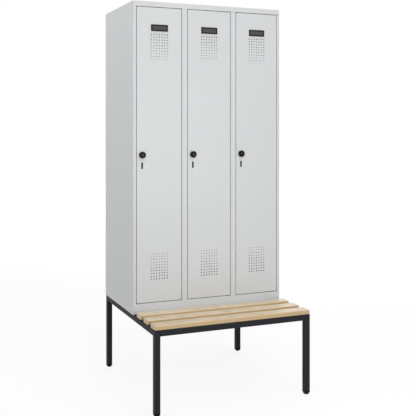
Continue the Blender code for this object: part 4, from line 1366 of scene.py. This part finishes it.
def build_hook(number, side):
    """A ring round the rail, a neck and an upturned hook."""
    node = f"coat_hook_{number}_{side}"
    low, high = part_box(node)
    centre = middle_of(f"coat_rail_{number}")
    inner = RAIL_DIAMETER / 2 + CLEARANCE
    outer = inner + HOOK_BAR
    half = HOOK_BAR / 2
    lean = math.degrees(math.asin(half / outer))
    bend = (-HOOK_BEND, -outer - HOOK_NECK)
    tip = (-2 * HOOK_BEND, bend[1] + HOOK_LIFT)
    outline = arc((0, 0), outer, lean - 90, 270 - lean, RING_STEPS)
    outline += arc(bend, HOOK_BEND - half, 0, -180, BEND_STEPS)
    outline += arc(tip, half, 0, 180, TIP_STEPS)
    outline += arc(bend, HOOK_BEND + half, 180, 360, BEND_STEPS)
    across = Matrix.Translation((0, centre.y, centre.z)) @ ALONG_X
    bm = bmesh.new()
    prism(bm, outline, across, low.x, high.x)
    item = mesh_item(f"sliding_hook_{number}_{side}", bm)
    bm = bmesh.new()
    prism(bm, arc((0, 0), inner, 0, 360, RING_STEPS)[:-1], across, low.x - OVERRUN, high.x + OVERRUN)
    hole = mesh_item("hook_hole", bm)
    cut(item, hole)
    soften(item, HOOK_EDGE, segments=3)
    finish_piece(item, BLACK_PLASTIC, f"hook_{number}_{side}", (node,))
    remove_item(hole)


def build_hinge_pin(number, end):
    """A headed pin with a collar in the gap between the opening and the door's edge."""
    node = f"hinge_pin_{end}_{number}"
    upper = end == "upper"
    low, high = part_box(node)
    middle = middle_of(node)
    seat = OPENING_TOP if upper else OPENING_BOTTOM
    crown = high.z - seat if upper else seat - low.z
    tip = low.z - seat if upper else seat - high.z
    neck = SHEET + CLEARANCE
    collar_end = -CLEARANCE - COLLAR_HEIGHT
    profile = [
        (0, crown), (PIN_CROWN_RADIUS, crown), (PIN_SHOULDER_RADIUS, crown - PIN_SHOULDER_DROP),
        (PIN_HEAD_RADIUS, crown - PIN_HEAD_DROP), (PIN_HEAD_RADIUS, neck), (PIN_RADIUS, neck),
        (PIN_RADIUS, -CLEARANCE), (COLLAR_RADIUS - COLLAR_EASE, -CLEARANCE),
        (COLLAR_RADIUS, -CLEARANCE - COLLAR_EASE_HEIGHT), (COLLAR_RADIUS, collar_end + COLLAR_EASE_HEIGHT),
        (COLLAR_RADIUS - COLLAR_EASE, collar_end), (PIN_RADIUS, collar_end), (PIN_RADIUS, tip + PIN_TIP_EASE),
        (PIN_RADIUS - PIN_TIP_EASE, tip), (0, tip)]
    flip = Matrix.Identity(4) if upper else Matrix.Rotation(math.pi, 4, "X")
    bm = bmesh.new()
    revolve(bm, profile, PIN_STEPS, Matrix.Translation((middle.x, middle.y, seat)) @ flip)
    # The pin's near black colour is painted shade for the door gap
    finish_piece(mesh_item(f"hinge_stud_{end}_{number}", bm), PIN_STEEL_PAINTED_SHADE, CABINET, (node,))


def build_compartments():
    """What each compartment holds: hinge pins, lock, label holder, coat rail and hooks."""
    for number in COMPARTMENTS:
        for end in ("upper", "lower"):
            build_hinge_pin(number, end)
    for number in COMPARTMENTS:
        build_knob(number)
        build_plug(number)
        build_lock_case(number)
        build_cam(number)
        build_label_holder(number)
        build_coat_rail(number)
        for side in SIDES:
            build_hook(number, side)


# Studio

WORLD_COLOUR = (0.97, 0.985, 1.0)
WORLD_STRENGTH = 0.50
WHITE = (1.0, 1.0, 1.0)
FLOOR_GREY = (0.60, 0.60, 0.60)
FLOOR_REACH = 15.0
FLOOR_GLOW = 1.15
FLOOR_GLOW_SHARES = (0.72, 0.89)
FLOOR_FADE = (2.5, 7.0)

# Each lamp's place, what it faces, its size, its power and its colour
LAMPS = {
    "near_softbox": ((-0.6, -2.4, 1.65), (-0.1, -0.1, 1.65), 1.0, 15.0, (1.0, 0.995, 0.99)),
    "low_softbox": ((0.5, -2.6, 1.1), (0.1, -0.1, 1.0), 1.2, 11.8, (0.955, 0.985, 1.0)),
    "left_softbox": ((-2.4, 0.2, 2.5), (-0.45, 0.1, 1.9), 1.2, 15.2, (0.98, 0.995, 1.0)),
    "top_softbox": ((0.2, -1.4, 4.0), (0.0, -0.3, 0.5), 2.6, 33.5, (1.0, 0.995, 0.99)),
    "right_softbox": ((3.5, 1.6, 2.4), (0.45, 0.2, 1.2), 2.0, 30.0, (1.0, 0.995, 0.99)),
    "rear_softbox": ((1.4, 4.0, 2.6), (0.0, 0.4, 1.2), 2.0, 45.0, (0.99, 0.995, 1.0)),
}


def stage_shader(tree, lit, white, glow):
    """Mixes a lit shader with plain white where the camera, gloss or glass looks at it."""
    rays = tree.nodes.new("ShaderNodeLightPath").outputs
    seen = calculate(tree, "MAXIMUM", rays["Is Camera Ray"], rays["Is Glossy Ray"])
    seen = calculate(tree, "MAXIMUM", seen, rays["Is Transmission Ray"])
    share = calculate(tree, "MULTIPLY", seen, glow)
    mix = {"Fac": share, 1: lit.outputs[0], 2: white.outputs[0]}
    return add_node(tree, "ShaderNodeMixShader", mix).outputs[0]


def build_floor():
    """A pale floor that keeps the object's shadow nearby and runs out to white further off."""
    material = bpy.data.materials.new("studio_floor")
    material.use_nodes = True
    tree = material.node_tree
    tree.nodes.remove(tree.nodes["Principled BSDF"])
    lit = add_node(tree, "ShaderNodeBsdfDiffuse", {"Color": FLOOR_GREY})
    white = add_node(tree, "ShaderNodeEmission", {"Strength": FLOOR_GLOW})
    reach = add_node(tree, "ShaderNodeVectorMath", operation="LENGTH")
    feed(tree, reach.inputs[0], tree.nodes.new("ShaderNodeTexCoord").outputs["Object"])
    glow_share = spread(tree, reach.outputs["Value"], *FLOOR_FADE, *FLOOR_GLOW_SHARES)
    shader = stage_shader(tree, lit, white, glow_share)
    feed(tree, tree.nodes["Material Output"].inputs["Surface"], shader)
    bm = bmesh.new()
    bmesh.ops.create_grid(bm, x_segments=1, y_segments=1, size=FLOOR_REACH)
    floor = mesh_item("floor", bm)
    floor.data.materials.append(material)


def build_world():
    """A soft even light that the camera sees as plain white."""
    world = bpy.data.worlds.new("studio_world")
    world.use_nodes = True
    tree = world.node_tree
    light = tree.nodes["Background"]
    feed(tree, light.inputs["Color"], WORLD_COLOUR)
    feed(tree, light.inputs["Strength"], WORLD_STRENGTH)
    white = add_node(tree, "ShaderNodeBackground", {"Color": WHITE, "Strength": 1.0})
    feed(tree, tree.nodes["World Output"].inputs["Surface"], stage_shader(tree, light, white, 1.0))
    bpy.context.scene.world = world


def build_lamps():
    """Square softboxes that the camera doesn't see."""
    for name, (place, target, size, power, colour) in LAMPS.items():
        lamp = bpy.data.lights.new(name, "AREA")
        lamp.shape = "SQUARE"
        lamp.size = size
        lamp.energy = power
        lamp.color = colour
        item = new_item(name, lamp)
        item.location = place
        item.rotation_euler = (Vector(target) - Vector(place)).to_track_quat("-Z", "Y").to_euler()
        item.visible_camera = False


def build_camera():
    """A level camera whose shift keeps the uprights parallel."""
    camera = bpy.data.cameras.new("camera")
    camera.lens = CAMERA_LENS
    camera.shift_x, camera.shift_y = CAMERA_SHIFT
    item = new_item("camera", camera)
    item.location = CAMERA_PLACE
    item.rotation_euler = (math.pi / 2, 0, CAMERA_TURN)
    bpy.context.scene.camera = item


build_camera()
build_world()
build_floor()
build_lamps()
build_tubes()
build_feet()
build_slats()
build_walls()
build_ends()
build_back()
build_shelves()
build_doors()
build_compartments()
build_weld_beads()
build_slat_screws()
build_floor_bolts()
build_spot_welds()
build_door_buffers()

bpy.context.scene.view_settings.view_transform = "Standard"
# The denoiser's guides stay unfiltered, because a filter wipes away the doors' small holes
bpy.context.scene.cycles.denoising_prefilter = "NONE"
